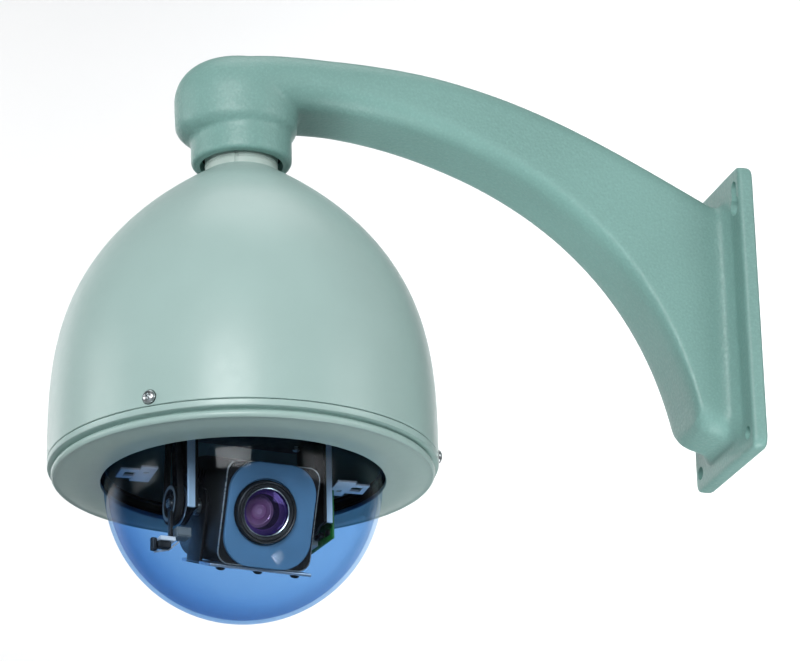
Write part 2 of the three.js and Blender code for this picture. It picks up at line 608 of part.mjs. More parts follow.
function buildYoke() {
  piece(panGroup, "yoke_arm_left", "aluminium", yokeArm(ARM_LEFT));
  const boardPeg = barX(2.5, 47, BOARD_X - GAP, -10, -22, SMALL_STEPS);
  piece(panGroup, "yoke_arm_right", "aluminium", join(yokeArm(ARM_RIGHT), boardPeg));
  for (const [side, from, to] of [["left", -42, -37.5], ["right", 44.5, 49]]) {
    const bore = barX(SHAFT_RADIUS + GAP, from - 1, to + 1, 0, TILT_Z);
    piece(panGroup, `tilt_bush_${side}`, "brass", cut(barX(BUSH_RADIUS, from, to, 0, TILT_Z), bore));
  }
}

function buildTiltDrive() {
  const z = TILT_MOTOR_Z;
  const foot = PLATFORM_Z + 3 + GAP;
  const bracket = join(block(-41, -39, -20, 20, foot, z + 20), block(-41, -33, -20, 20, foot, foot + 1.7));
  piece(panGroup, "tilt_motor_bracket", "steel", cut(bracket, barX(5.5, -45, -38, 0, z)));
  const motor = cut(
    join(barX(15.5, -38.7, -22, 0, z, 24), barX(5, -41.5, -38, 0, z, 12)),
    barX(MOTOR_SHAFT + GAP, -43, -30, 0, z, 12));
  piece(panGroup, "tilt_motor", "blackMetal", motor);
  const wheel = barX(TILT_PINION_RADIUS, ...PULLEY_X, 0, z, 20);
  const pinion = join(wheel, barX(MOTOR_SHAFT, -51.5, -31, 0, z, 12));
  const notches = Array.from({ length: 8 }, (_, i) =>
    block(-52, -43, -0.5, 0.5, TILT_PINION_RADIUS - 0.6, 7).rotate([i * 45, 0, 0]).translate([0, 0, z]));
  piece(panGroup, "tilt_pinion", "brass", cut(pinion, ...notches));
  const loop = beltShape(TILT_MOTOR_Z - TILT_Z, TILT_PULLEY_RADIUS, TILT_PINION_RADIUS);
  const belt = extrude(loop, -49.5, -45.5, FRAME_X);
  piece(panGroup, "tilt_belt", "rubber", moved(belt, 0, 0, TILT_Z));
  piece(panGroup, "tilt_limit_switch", "grey", block(-51, -41.3, -16, -5, -58, -51.7));
}

function buildControlBoard() {
  piece(panGroup, "control_board", "board", block(BOARD_X, BOARD_X + 1.6, -16, 30, -48, -16));
  const plug = cut(block(48.6, 53.7, 6, 22, -47, -40), block(47, 50.5, 7.5, 20.5, -45.5, -41.5));
  piece(panGroup, "board_connector", "white", plug);
}

// ---------------------------------------------------------------- camera module
function buildCameraCase() {
  const { left, right, half, front, back, corner, wall } = CASE;
  const outer = slabY(left, right, -half, half, corner, front, back);
  const wide = [left + wall, right - wall];
  const inner = slabY(...wide, -half + wall, half - wall, corner - wall, front - 1, back - wall);
  piece(tiltGroup, "camera_case", "black", cut(outer, inner, barY(5, back - 5, back + 1, 10, -18, 16)));
  const face = slabY(left + 2.5, right - 2.5, -half, half, corner + 6, front - 4, front - GAP);
  piece(tiltGroup, "camera_face", "faceGrey", cut(face, barY(20, front - 6, front + 1, 0, LENS_Z, 28)));
}

function tubeY(inner, outer, y1, y2, steps = 20) {
  return cut(barY(outer, y1, y2, 0, LENS_Z, steps), barY(inner, y1 - 1, y2 + 1, 0, LENS_Z, steps));
}

function buildLens() {
  const barrel = join(tubeY(17, 19.6, -42, 2), tubeY(13.4, 19, 2, 4));
  piece(tiltGroup, "lens_barrel", "black", barrel);
  const dome = revolve([[0, -4], [16.6, -4], [16.6, -1], [13, 0.6], [8, 1.8], [0, 2.4]], 20)
    .rotate([90, 0, 0]).translate([0, -38, LENS_Z]);
  piece(tiltGroup, "front_lens", "lens", dome);
  const zoomLens = barY(11.5, -23, -21, 0, LENS_Z, 20);
  piece(tiltGroup, "zoom_group", "black", join(tubeY(11, 16.5, -26, -18, 20), zoomLens));
  const focusLens = barY(9.5, -8, -6, 0, LENS_Z, 20);
  piece(tiltGroup, "focus_group", "black", join(tubeY(9, 16.5, -10, -4, 20), focusLens));
  const sensor = join(block(-22, 26, 8, 9.6, -24, 28), block(-5, 5, 5.5, 8.5, LENS_Z - 4, LENS_Z + 4));
  piece(tiltGroup, "sensor_board", "board", sensor);
  piece(tiltGroup, "camera_board", "board", block(-22, 28, 24, 25.6, -26, 26));
}

// Cradle: a folded strip under the case, with one ear up each side to the tilt shafts.
function buildCradle() {
  const { left, right, half } = CASE;
  const under = -half - GAP - 2;
  const strip = block(left - 2.5, right + 2.5, -33, 20, under, under + 2);
  const ear = (x) => block(x, x + 2, -12, 12, under, 12);
  const shaftHoles = barX(SHAFT_RADIUS + GAP, left - 6, right + 6);
  const screwX = [-21, 4, 29];
  const screwHoles = screwX.map((x) => moved(disc(1.9, under - 1, under + 3, 10), x, -27, 0));
  const body = join(strip, ear(left - 2.5), ear(right + 0.5));
  piece(tiltGroup, "camera_cradle", "aluminium", cut(body, shaftHoles, ...screwHoles));
  screwX.forEach((x, i) => {
    const screw = join(disc(3, under - 2.2, under - GAP, 12), disc(1.5, under - 1, -half - GAP, 10));
    piece(tiltGroup, `cradle_screw_${i + 1}`, "black", moved(screw, x, -27, 0));
  });
  const collarLeft = barX(5.5, left - 5.5, left - 2.5 - GAP);
  const shaftLeft = barX(SHAFT_RADIUS, -51.5, left - GAP, 0, 0, 20);
  piece(tiltGroup, "tilt_shaft_left", "steel", join(shaftLeft, collarLeft));
  const collarRight = barX(5.5, right + 2.5 + GAP, right + 5.5);
  const shaftRight = barX(SHAFT_RADIUS, right + GAP, 52, 0, 0, 20);
  piece(tiltGroup, "tilt_shaft_right", "steel", join(shaftRight, collarRight));
  const rim = barX(TILT_PULLEY_RADIUS, ...PULLEY_X, 0, 0, 24);
  const face = barX(TILT_PULLEY_RADIUS - 3, PULLEY_X[0] - 1, PULLEY_X[0] + 1.5, 0, 0, 20);
  piece(tiltGroup, "tilt_pulley", "blackMetal", cut(rim, face, barX(SHAFT_RADIUS + GAP, -55, -40)));
}

// ---------------------------------------------------------------- assembly
buildBracket();
buildNeck();
buildShell();
buildTrimRing();
buildBubble();
buildChassis();
buildEar("mount_ear_right", 0);
buildEar("mount_ear_left", 180);
buildElectrics();
buildFan();
buildPanDrive();
buildSlipRing();
buildPanBody();
buildYoke();
buildTiltDrive();
buildControlBoard();
buildCameraCase();
buildLens();
buildCradle();

export default object;
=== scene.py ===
"""Looks of the dome camera on its swan-neck bracket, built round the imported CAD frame.

Shapes are drawn in millimetres and placed in metres. "Dome" drawings have their origin on the
dome's axis at the seam between shell and trim ring; "pan" drawings turn with the pan head; "tilt"
drawings sit on the tilt axis with the lens along -Y.
"""
import json
import math

import bmesh
import bpy
from mathutils import Matrix, Vector


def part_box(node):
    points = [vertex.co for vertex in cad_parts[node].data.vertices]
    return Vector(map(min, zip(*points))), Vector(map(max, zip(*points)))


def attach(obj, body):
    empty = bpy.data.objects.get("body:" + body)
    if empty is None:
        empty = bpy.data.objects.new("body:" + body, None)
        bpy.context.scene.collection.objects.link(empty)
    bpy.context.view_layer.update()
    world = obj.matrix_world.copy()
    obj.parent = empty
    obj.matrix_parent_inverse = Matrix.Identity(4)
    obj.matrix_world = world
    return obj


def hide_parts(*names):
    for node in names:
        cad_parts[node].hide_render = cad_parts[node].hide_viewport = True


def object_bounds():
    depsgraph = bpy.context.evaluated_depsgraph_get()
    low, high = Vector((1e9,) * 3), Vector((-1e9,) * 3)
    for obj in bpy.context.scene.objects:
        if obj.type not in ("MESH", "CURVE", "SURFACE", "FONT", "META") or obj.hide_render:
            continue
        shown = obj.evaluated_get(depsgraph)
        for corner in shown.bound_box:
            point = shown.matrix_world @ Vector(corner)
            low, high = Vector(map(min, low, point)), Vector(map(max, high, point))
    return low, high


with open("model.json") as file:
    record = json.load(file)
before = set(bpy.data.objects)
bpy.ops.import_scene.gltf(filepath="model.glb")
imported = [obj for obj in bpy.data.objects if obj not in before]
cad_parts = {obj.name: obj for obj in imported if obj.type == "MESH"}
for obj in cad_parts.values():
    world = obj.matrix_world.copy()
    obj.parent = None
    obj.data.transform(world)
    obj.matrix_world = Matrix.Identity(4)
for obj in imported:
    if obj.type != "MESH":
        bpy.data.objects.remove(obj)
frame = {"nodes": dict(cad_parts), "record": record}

CAD_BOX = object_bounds()
MM = 0.001
TURN = 2 * math.pi

# ------------------------------------------------------------------ places taken from the frame
JOINTS = {joint["name"]: joint for joint in frame["record"]["behaviour"]["joints"]}
RING_BELOW_SEAM = 13.0
AXIS_X = JOINTS["pan"]["pos_m"][0] / MM
SEAM_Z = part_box("trim_ring")[0][2] / MM + RING_BELOW_SEAM
PAN_REST = math.atan2(JOINTS["tilt"]["axis"][1], JOINTS["tilt"]["axis"][0])
TILT_REST = math.asin(-JOINTS["zoom_slide"]["axis"][2])
TILT_Z = JOINTS["tilt"]["pos_m"][2] / MM - SEAM_Z

ROW = Matrix.Identity(4)
DOME = Matrix.Translation((AXIS_X, 0, SEAM_Z))
PAN = DOME @ Matrix.Rotation(PAN_REST, 4, "Z")
TILT = PAN @ Matrix.Translation((0, 0, TILT_Z)) @ Matrix.Rotation(TILT_REST, 4, "X")

ALONG_X = Matrix(((0, 0, 1, 0), (1, 0, 0, 0), (0, 1, 0, 0), (0, 0, 0, 1)))  # u=Y v=Z w=X
ALONG_Y = Matrix(((-1, 0, 0, 0), (0, 0, 1, 0), (0, 1, 0, 0), (0, 0, 0, 1)))  # u=-X v=Z w=Y


# ------------------------------------------------------------------ materials
def srgb(red, green, blue):
    """Linear colour of an 8-bit sRGB one."""
    def linear(value):
        value /= 255
        return value / 12.92 if value <= 0.04045 else ((value + 0.055) / 1.055) ** 2.4
    return (linear(red), linear(green), linear(blue), 1)


class Nodes:
    """Short calls for building one material's node tree."""

    def __init__(self, name):
        self.material = bpy.data.materials.new(name)
        self.material.use_nodes = True
        self.tree = self.material.node_tree
        self.tree.nodes.clear()
        self.output = self.add("ShaderNodeOutputMaterial")
        self.place = self.add("ShaderNodeTexCoord").outputs["Object"]

    def add(self, kind, values=None, **settings):
        node = self.tree.nodes.new(kind)
        for key, value in settings.items():
            setattr(node, key, value)
        for key, value in (values or {}).items():
            self.feed(node.inputs[key], value)
        return node

    def feed(self, socket, value):
        if isinstance(value, bpy.types.NodeSocket):
            self.tree.links.new(value, socket)
        else:
            socket.default_value = value

    def noise(self, scale, detail=3.0, roughness=0.5, place=None):
        values = {"Vector": place or self.place, "Scale": scale, "Detail": detail, "Roughness": roughness}
        return self.add("ShaderNodeTexNoise", values).outputs["Fac"]

    def cells(self, scale):
        values = {"Vector": self.place, "Scale": scale, "Smoothness": 0.6}
        return self.add("ShaderNodeTexVoronoi", values, feature="SMOOTH_F1").outputs["Distance"]

    def stretch(self, x, y, z):
        node = self.add("ShaderNodeMapping", {"Vector": self.place})
        node.inputs["Scale"].default_value = (x, y, z)
        return node.outputs["Vector"]

    def span(self, value, low, high, start=0.3, end=0.7):
        values = {"Value": value, "From Min": start, "From Max": end, "To Min": low, "To Max": high}
        return self.add("ShaderNodeMapRange", values).outputs["Result"]

    def blend(self, share, first, second):
        node = self.add("ShaderNodeMix", data_type="RGBA")
        self.feed(node.inputs[0], share)
        self.feed(node.inputs[6], first)
        self.feed(node.inputs[7], second)
        return node.outputs[2]

    def sum(self, first, second, share=1.0):
        scaled = self.add("ShaderNodeMath", {0: second, 1: share}, operation="MULTIPLY").outputs[0]
        return self.add("ShaderNodeMath", {0: first, 1: scaled}, operation="ADD").outputs[0]

    def bump(self, height, distance, strength=1.0):
        values = {"Height": height, "Distance": distance, "Strength": strength}
        return self.add("ShaderNodeBump", values).outputs["Normal"]

    def edges(self, amount):
        """Share of lightened edge: 0 on flats, 1 on sharp convex edges."""
        point = self.add("ShaderNodeNewGeometry").outputs["Pointiness"]
        return self.span(point, 0.0, amount, 0.52, 0.62)

    def surface(self, **values):
        named = {key.replace("_", " "): value for key, value in values.items()}
        node = self.add("ShaderNodeBsdfPrincipled", named)
        self.feed(self.output.inputs["Surface"], node.outputs[0])
        return self.material


def shade(colour, factor):
    return tuple(min(1.0, channel * factor) for channel in colour[:3]) + (1,)


def hammered_paint(name, colour):
    """Grey-green powder coat with a fine hammered skin, as on the bracket casting."""
    n = Nodes(name)
    skin = n.sum(n.cells(420), n.noise(900, 2), 0.5)
    cloud = n.noise(9, 4)
    speckle = n.span(n.noise(650, 2), 0.0, 0.35, 0.45, 0.75)
    base = n.blend(n.span(cloud, 0, 1), shade(colour, 0.93), shade(colour, 1.06))
    base = n.blend(speckle, base, shade(colour, 1.35))
    base = n.blend(n.edges(0.35), base, shade(colour, 1.5))
    rough = n.span(n.noise(380, 2), 0.38, 0.56)
    return n.surface(Base_Color=base, Roughness=rough, Normal=n.bump(skin, 0.00045, 0.55),
                     Coat_Weight=0.15,
                     Coat_Roughness=0.3)


def satin_paint(name, colour):
    """Smooth satin enamel with faint orange peel, as on the housing and trim ring."""
    n = Nodes(name)
    cloud = n.noise(14, 4)
    base = n.blend(n.span(cloud, 0, 1), shade(colour, 0.965), shade(colour, 1.03))
    dust = n.span(n.noise(700, 3, 0.7), 0.0, 0.3, 0.6, 0.8)
    base = n.blend(dust, base, shade(colour, 0.86))
    base = n.blend(n.edges(0.25), base, shade(colour, 1.25))
    rough = n.span(n.noise(160, 3), 0.34, 0.45)
    return n.surface(Base_Color=base, Roughness=rough, Normal=n.bump(n.noise(520, 2), 0.00012, 0.35),
                     Coat_Weight=0.25, Coat_Roughness=0.22)


def metal(name, colour, rough=0.3, brushed=(1, 1, 30), scale=60):
    """Bare metal with fine drawn lines across one axis."""
    n = Nodes(name)
    lines = n.noise(scale, 5, 0.65, n.stretch(*brushed))
    base = n.blend(n.span(lines, 0, 1), shade(colour, 0.86), shade(colour, 1.08))
    return n.surface(Base_Color=base, Metallic=1.0, Roughness=n.span(lines, rough * 0.75, rough * 1.3),
                     Normal=n.bump(lines, 0.00008, 0.3))


def plastic(name, colour, rough=0.5, grain=1400, depth=0.00006):
    """Moulded plastic with a fine spark-eroded grain."""
    n = Nodes(name)
    grains = n.noise(grain, 2)
    base = n.blend(n.span(n.noise(35, 3), 0, 1), shade(colour, 0.88), shade(colour, 1.12))
    return n.surface(Base_Color=base, Roughness=n.span(grains, rough * 0.85, rough * 1.15),
                     Normal=n.bump(grains, depth, 0.5))


def coated_sheet(name, colour, rough=0.45, metallic=0.35):
    """Thin coated sheet metal: slight mottling and brighter cut edges."""
    n = Nodes(name)
    base = n.blend(n.span(n.noise(60, 4), 0, 1), shade(colour, 0.9), shade(colour, 1.08))
    base = n.blend(n.edges(0.5), base, shade(colour, 1.4))
    return n.surface(Base_Color=base, Metallic=metallic,
                     Roughness=n.span(n.noise(240, 3), rough * 0.8, rough * 1.2),
                     Normal=n.bump(n.noise(800, 2), 0.00005, 0.4))


def solder_mask(name, colour):
    """Printed board: tracks under green lacquer."""
    n = Nodes(name)
    grid = n.add("ShaderNodeTexBrick", {"Vector": n.place, "Scale": 240, "Mortar Size": 0.06})
    tracks = n.span(grid.outputs["Fac"], 0, 0.6, 0.2, 0.8)
    base = n.blend(tracks, colour, shade(colour, 1.9))
    base = n.blend(n.span(n.noise(90, 3), 0, 0.5), base, shade(colour, 0.6))
    return n.surface(Base_Color=base, Roughness=n.span(n.noise(300, 2), 0.25, 0.4),
                     Normal=n.bump(grid.outputs["Fac"], 0.00005, 0.5))


def clear_wall(name, front, shaded_rear, shine):
    """Thin clear moulding; its tint deepens towards the back half as painted shade, darkening what is
    seen through it.
    """
    n = Nodes(name)
    # Painted shade: the back half of the dome (towards +Y) is tinted deeper than the front.
    depth = n.add("ShaderNodeSeparateXYZ", {0: n.place}).outputs["Y"]
    share = n.add("ShaderNodeMapRange", {"Value": depth, "From Min": -0.05, "From Max": 0.02},
                  interpolation_type="SMOOTHSTEP").outputs["Result"]
    turned_away = n.add("ShaderNodeLayerWeight", {"Blend": 0.5}).outputs["Facing"]
    through = n.add("ShaderNodeBsdfTransparent", {"Color": n.blend(share, front, shaded_rear)})
    mirror = n.add("ShaderNodeBsdfGlossy", {"Color": (1, 1, 1, 1), "Roughness": shine})
    gloss = n.sum(n.span(turned_away, 0, 0.12, 0.5, 0.9), n.span(n.noise(22, 5, 0.7), 0.004, 0.009))
    mix = n.add("ShaderNodeMixShader", {0: gloss, 1: through.outputs[0], 2: mirror.outputs[0]})
    n.feed(n.output.inputs["Surface"], mix.outputs[0])
    return n.material


def coated_glass(name, tint, glow):
    """Front element: dark violet anti-reflection coating over clear glass."""
    n = Nodes(name)
    through = n.add("ShaderNodeBsdfTransparent", {"Color": tint})
    mirror = n.add("ShaderNodeBsdfGlossy", {"Color": glow, "Roughness": 0.04})
    rim = n.add("ShaderNodeFresnel", {"IOR": 1.6})
    share = n.sum(rim.outputs[0], n.span(n.noise(60, 2), 0.02, 0.06), 1.0)
    mix = n.add("ShaderNodeMixShader", {0: share, 1: through.outputs[0], 2: mirror.outputs[0]})
    n.feed(n.output.inputs["Surface"], mix.outputs[0])
    return n.material


def lens_coating(name, centre, middle, rim, radius):
    """Inner lens elements: rings of reflected colour, worked out from the distance to the lens axis."""
    n = Nodes(name)
    axis_point = TILT @ Vector((0, 0, LENS_Z))
    forward = (TILT.to_3x3() @ Vector((0, -1, 0))).normalized()
    offset = n.add("ShaderNodeVectorMath", {0: n.place, 1: axis_point * MM},
                   operation="SUBTRACT").outputs[0]
    along = n.add("ShaderNodeVectorMath", {0: offset, 1: forward},
                  operation="DOT_PRODUCT").outputs["Value"]
    shadow = n.add("ShaderNodeVectorMath", {0: forward}, operation="SCALE")
    n.feed(shadow.inputs["Scale"], along)
    across = n.add("ShaderNodeVectorMath", {0: offset, 1: shadow.outputs[0]},
                   operation="SUBTRACT").outputs[0]
    distance = n.add("ShaderNodeVectorMath", {0: across}, operation="LENGTH").outputs["Value"]
    share = n.span(distance, 0, 1, 0, radius * MM)
    inner = n.blend(n.span(share, 0, 1, 0.15, 0.55), centre, middle)
    colour = n.blend(n.span(share, 0, 1, 0.55, 1.0), inner, rim)
    colour = n.blend(n.span(n.noise(500, 2), 0, 0.25), colour, shade(rim, 0.7))
    return n.surface(Base_Color=colour, Metallic=0.1, Roughness=0.12, Coat_Weight=1.0,
                     Coat_Roughness=0.03)


LENS_Z = 2.0
PALETTE = {
    "bracket_paint": hammered_paint("bracket_paint_look", srgb(130, 172, 165)),
    "housing_paint": satin_paint("housing_paint_look", srgb(172, 200, 195)),
    "steel": metal("steel_look", srgb(205, 212, 214), 0.28),
    "aluminium": metal("aluminium_look", srgb(196, 214, 232), 0.36, (30, 1, 1)),
    "brass": metal("brass_look", srgb(206, 172, 98), 0.3),
    "black_plastic": plastic("black_plastic_look", srgb(24, 25, 27), 0.42),
    "black_metal": coated_sheet("black_metal_look", srgb(30, 31, 33), 0.4),
    "rubber": plastic("rubber_look", srgb(26, 27, 28), 0.75, 900, 0.00012),
    # Clear bubble: light tint at the front, deeper tint at the back as painted shade.
    "clear_bubble": clear_wall("clear_bubble_look", (0.90, 0.94, 0.985, 1), (0.40, 0.59, 0.80, 1), 0.03),
    "lens_glass": coated_glass("lens_glass_look", (0.93, 0.86, 0.97, 1), srgb(176, 150, 235)),
    "face_plastic": plastic("face_plastic_look", srgb(84, 130, 166), 0.55, 1800, 0.00004),
    "white_sheet": coated_sheet("white_sheet_look", srgb(240, 244, 248), 0.35, 0.0),
    "circuit_board": solder_mask("circuit_board_look", srgb(38, 120, 52)),
    "grey_plastic": plastic("grey_plastic_look", srgb(112, 122, 126), 0.5),
    "white_plastic": plastic("white_plastic_look", srgb(222, 224, 220), 0.45),
}
# Inner lens colours: painted reflection rings, worked out from the distance to the lens axis.
LENS_PINK = lens_coating("lens_pink_look", srgb(255, 232, 236), srgb(206, 150, 186), srgb(250, 222, 236),
                         9.2)
LENS_VIOLET = lens_coating("lens_violet_look", srgb(240, 210, 232), srgb(206, 170, 226),
                           srgb(122, 82, 214), 16)
YOKE_SHEET = coated_sheet("yoke_sheet_look", srgb(184, 210, 234), 0.42, 0.25)
# Black sheet: painted shade on the yoke arm webs and feet; the cradle ears use it too.
BLACK_SHEET = coated_sheet("black_sheet_look", srgb(20, 21, 23), 0.5)
SATIN_STEEL = plastic("satin_steel_look", srgb(186, 204, 198), 0.4, 900, 0.00004)


# ------------------------------------------------------------------ drawing
TINY = 1e-6


def round_off(bm, edges, width, segments):
    bmesh.ops.bevel(bm, geom=edges, offset=width, segments=segments, profile=0.5, affect="EDGES")


def moved(x, y, z):
    return Matrix.Translation((x, y, z))


class Part:
    """Closed shells in millimetres that end up as one piece."""

    def __init__(self):
        self.shape = bmesh.new()

    def take(self, other, matrix=None, material=0):
        if matrix is not None:
            bmesh.ops.transform(other, matrix=matrix, verts=other.verts)
        for face in other.faces:
            face.material_index = material
        mesh = bpy.data.meshes.new("step")
        other.to_mesh(mesh)
        other.free()
        self.shape.from_mesh(mesh)
        bpy.data.meshes.remove(mesh)
        return self

    def lathe(self, profile, steps=96, matrix=None):
        """Revolves (radius, height) points; the outline closes on itself or on the axis."""
        bm = bmesh.new()
        loops = []
        for radius, height in profile:
            if radius < TINY:
                loops.append([bm.verts.new((0, 0, height))])
                continue
            angles = [TURN * i / steps for i in range(steps)]
            loops.append([bm.verts.new((radius * math.cos(a), radius * math.sin(a),
                                        height)) for a in angles])
        closed = all(len(loop) > 1 for loop in loops)
        for first, second in zip(loops, loops[1:] + (loops[:1] if closed else [])):
            for i in range(steps):
                j = (i + 1) % steps
                corners = [loop[k % len(loop)] for loop,
                           k in ((first, i), (first, j), (second, j), (second, i))]
                unique = list(dict.fromkeys(corners))
                if len(unique) > 2:
                    bm.faces.new(unique)
        bmesh.ops.recalc_face_normals(bm, faces=bm.faces)
        return self.take(bm, matrix)

    def prism(self, outline, low, high, bevel=0.0, matrix=None, material=0, segments=2):
        """Extrudes an outline of (u, v) points, with its two rims rounded by bevel."""
        bm = bmesh.new()
        base = bm.faces.new([bm.verts.new((u, v, low)) for u, v in outline])
        made = bmesh.ops.extrude_face_region(bm, geom=[base])
        lifted = [item for item in made["geom"] if isinstance(item, bmesh.types.BMVert)]
        bmesh.ops.translate(bm, verts=lifted, vec=(0, 0, high - low))
        bmesh.ops.recalc_face_normals(bm, faces=bm.faces)
        if bevel:
            rims = [e for e in bm.edges if abs(e.verts[0].co.z - e.verts[1].co.z) < TINY]
            round_off(bm, rims, bevel, segments)
        return self.take(bm, matrix, material)

    def box(self, x, y, z, bevel=0.4, matrix=None):
        """Block between pairs of limits, all its edges rounded."""
        bm = bmesh.new()
        bmesh.ops.create_cube(bm, size=1)
        size = Matrix.Diagonal((x[1] - x[0], y[1] - y[0], z[1] - z[0], 1))
        centre = moved((x[0] + x[1]) / 2, (y[0] + y[1]) / 2, (z[0] + z[1]) / 2)
        bmesh.ops.transform(bm, matrix=centre @ size, verts=bm.verts)
        if bevel:
            round_off(bm, bm.edges[:], bevel, 2)
        return self.take(bm, matrix)

    def rod(self, radius, low, high, steps=32, bevel=0.3, matrix=None):
        """Round bar along Z with rounded rims."""
        rim = [(0, low), (radius - bevel, low), (radius, low + bevel), (radius, high - bevel),
               (radius - bevel, high), (0, high)]
        return self.lathe(rim, steps, matrix)

    def object(self, name, matrix, materials=()):
        mesh = bpy.data.meshes.new(name)
        self.shape.to_mesh(mesh)
        self.shape.free()
        mesh.transform(Matrix.Scale(MM, 4) @ matrix)
        obj = bpy.data.objects.new(name, mesh)
        bpy.context.collection.objects.link(obj)
        for material in materials:
            mesh.materials.append(material)
        return obj


def settle(obj):
    """Applies obj's modifiers."""
    result = bpy.data.meshes.new_from_object(obj.evaluated_get(bpy.context.evaluated_depsgraph_get()))
    obj.modifiers.clear()
    obj.data = result


def carve(obj, cutter, mode="DIFFERENCE"):
    """Cuts an object with another one, which is used up."""
    tool = obj.modifiers.new("carve", "BOOLEAN")
    tool.operation = mode
    tool.solver = "EXACT"
    tool.object = cutter
    settle(obj)
    bpy.data.objects.remove(cutter)


def soften(obj, angle):
    """Smooth shading, except at edges sharper than angle."""
    for polygon in obj.data.polygons:
        polygon.use_smooth = True
    obj.data.set_sharp_from_angle(angle=math.radians(angle))


def finish(part, name, body, slot, place, replaces=(), angle=35):
    """Turns a Part, or an object, into a finished piece of the model."""
    obj = part if isinstance(part, bpy.types.Object) else part.object(name, place, [PALETTE[slot]])
    soften(obj, angle)
    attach(obj, body)
    if replaces:
        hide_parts(*replaces)


def hollowed(name, body, slot, place, part, cutters, replaces=(), extra=()):
    """A finished piece: part, less each of the cutters."""
    obj = part.object(name, place, [PALETTE[slot], *extra])
    for cutter in cutters:
        carve(obj, cutter.object("cutter", place))
    finish(obj, name, body, slot, place, replaces)


def rounded(x, z, radius, steps=8):
    """Rounded rectangle between two pairs of limits."""
    points = []
    for quarter, (cx, cz) in enumerate([(x[1], z[1]), (x[0], z[1]), (x[0], z[0]), (x[1], z[0])]):
        ox = cx - radius if quarter in (0, 3) else cx + radius
        oz = cz - radius if quarter in (0, 1) else cz + radius
        for k in range(steps + 1):
            a = (quarter + k / steps) * math.pi / 2
            points.append((ox + radius * math.cos(a), oz + radius * math.sin(a)))
    return points


def arc(radius, start, end, steps, centre=(0, 0)):
    """(radius, height) points of an arc, angles in degrees from the horizontal."""
    angles = [math.radians(start + (end - start) * i / steps) for i in range(steps + 1)]
    return [(centre[0] + radius * math.cos(a), centre[1] + radius * math.sin(a)) for a in angles]


def turned(degrees, axis="Z"):
    return Matrix.Rotation(math.radians(degrees), 4, axis)


def bezier(points, t):
    while len(points) > 1:
        points = [a.lerp(b, t) for a, b in zip(points, points[1:])]
    return points[0]


def evenly(curves, count):
    """count + 1 points at equal steps along a chain of Bezier curves."""
    samples = 200
    fine = [bezier(curve, i / samples) for curve in curves for i in range(samples + 1)]
    reach = [0.0]
    for a, b in zip(fine, fine[1:]):
        reach.append(reach[-1] + (b - a).length)
    points, k = [], 0
    for i in range(count + 1):
        goal = reach[-1] * i / count
        while k < len(fine) - 2 and reach[k + 1] < goal:
            k += 1
        step = reach[k + 1] - reach[k]
        points.append(fine[k].lerp(fine[k + 1], (goal - reach[k]) / step if step else 0))
    return points


def loft(part, loops, matrix=None):
    """Skin through closed loops of equal length, capped at both ends."""
    bm = bmesh.new()
    rows = [[bm.verts.new(point) for point in loop] for loop in loops]
    count = len(loops[0])
    for first, second in zip(rows, rows[1:]):
        for i in range(count):
            j = (i + 1) % count
            bm.faces.new((first[i], first[j], second[j], second[i]))
    bm.faces.new(rows[0][::-1])
    bm.faces.new(rows[-1])
    bmesh.ops.recalc_face_normals(bm, faces=bm.faces)
    part.take(bm, matrix)


# ------------------------------------------------------------------ wall bracket
PLATE_THICK = 10.5
PLATE_HALF = 53
PLATE_Z = (-12.5, 187.5)
ARM_TOP = [[(AXIS_X, 244.8), (-190, 257), (-124, 224.6), (-10, 166.3)]]
ARM_UNDER = [[(AXIS_X, 199), (-315, 223), (-76, 219.5), (-37, 14)], [(-37, 14), (-34.5, 4), (-10, 3)]]
ARM_HALF_WIDTHS = (37, 27, 27.5)
ARM_CORNER = 15
ARM_CORNER_AT_HEAD = 22
ARM_CORNER_BLEND = 0.35
ARM_STATIONS = 72
CAST_WALL = 5
ROOT_FILLET = 9
HEAD_RADIUS = 37.5
HEAD_STRETCH = 1.187
HEAD_TOP = 246
COLLAR = [(0, 173.5), (31.4, 173.5), (32.7, 174), (33.2, 175.2), (33.2, 200), (0, 200)]
HEAD_HOLLOW = [(0, 165), (27.4, 165), (27.4, 200), (32.5, 200), (32.5, 220), (25.5, 233), (16.5, 238.5),
               (0, 240)]
HOLE_HALF_SPACING = 43
KEYHOLE_Z = 161
KEYHOLE_RISE = 13


def curve_points(chain, count):
    curves = [[Vector((x, 0, z)) for x, z in curve] for curve in chain]
    return evenly(curves, count)


def arm_loops(inset):
    """Sections of the arm, drawn in by inset; the outer ones swell into a fillet at the wall plate."""
    loops = []
    tops, unders = curve_points(ARM_TOP, ARM_STATIONS), curve_points(ARM_UNDER, ARM_STATIONS)
    for i, (top, under) in enumerate(zip(tops, unders)):
        t = i / ARM_STATIONS
        w0, w1, w2 = ARM_HALF_WIDTHS
        away = -PLATE_THICK - (top.x + under.x) / 2
        swell = 0.0
        if inset == 0 and away < ROOT_FILLET:
            swell = ROOT_FILLET - math.sqrt(max(0.0,
                                                ROOT_FILLET ** 2 - (ROOT_FILLET - max(away, 0)) ** 2))
        half = (top - under) / 2
        depth = half.length - inset + swell * 0.5
        width = (1 - t) ** 2 * w0 + 2 * t * (1 - t) * w1 + t * t * w2 - inset + swell
        tight = ARM_CORNER + (ARM_CORNER_AT_HEAD - ARM_CORNER) * max(0.0, 1 - t / ARM_CORNER_BLEND)
        corner = min(tight - inset * 0.6, depth * 0.95, width * 0.8)
        middle, across = (top + under) / 2, half.normalized()
        loops.append([middle + across * v + Vector((0, u, 0))
                      for u, v in rounded((-width, width), (-depth, depth), corner, 6)])
    return loops


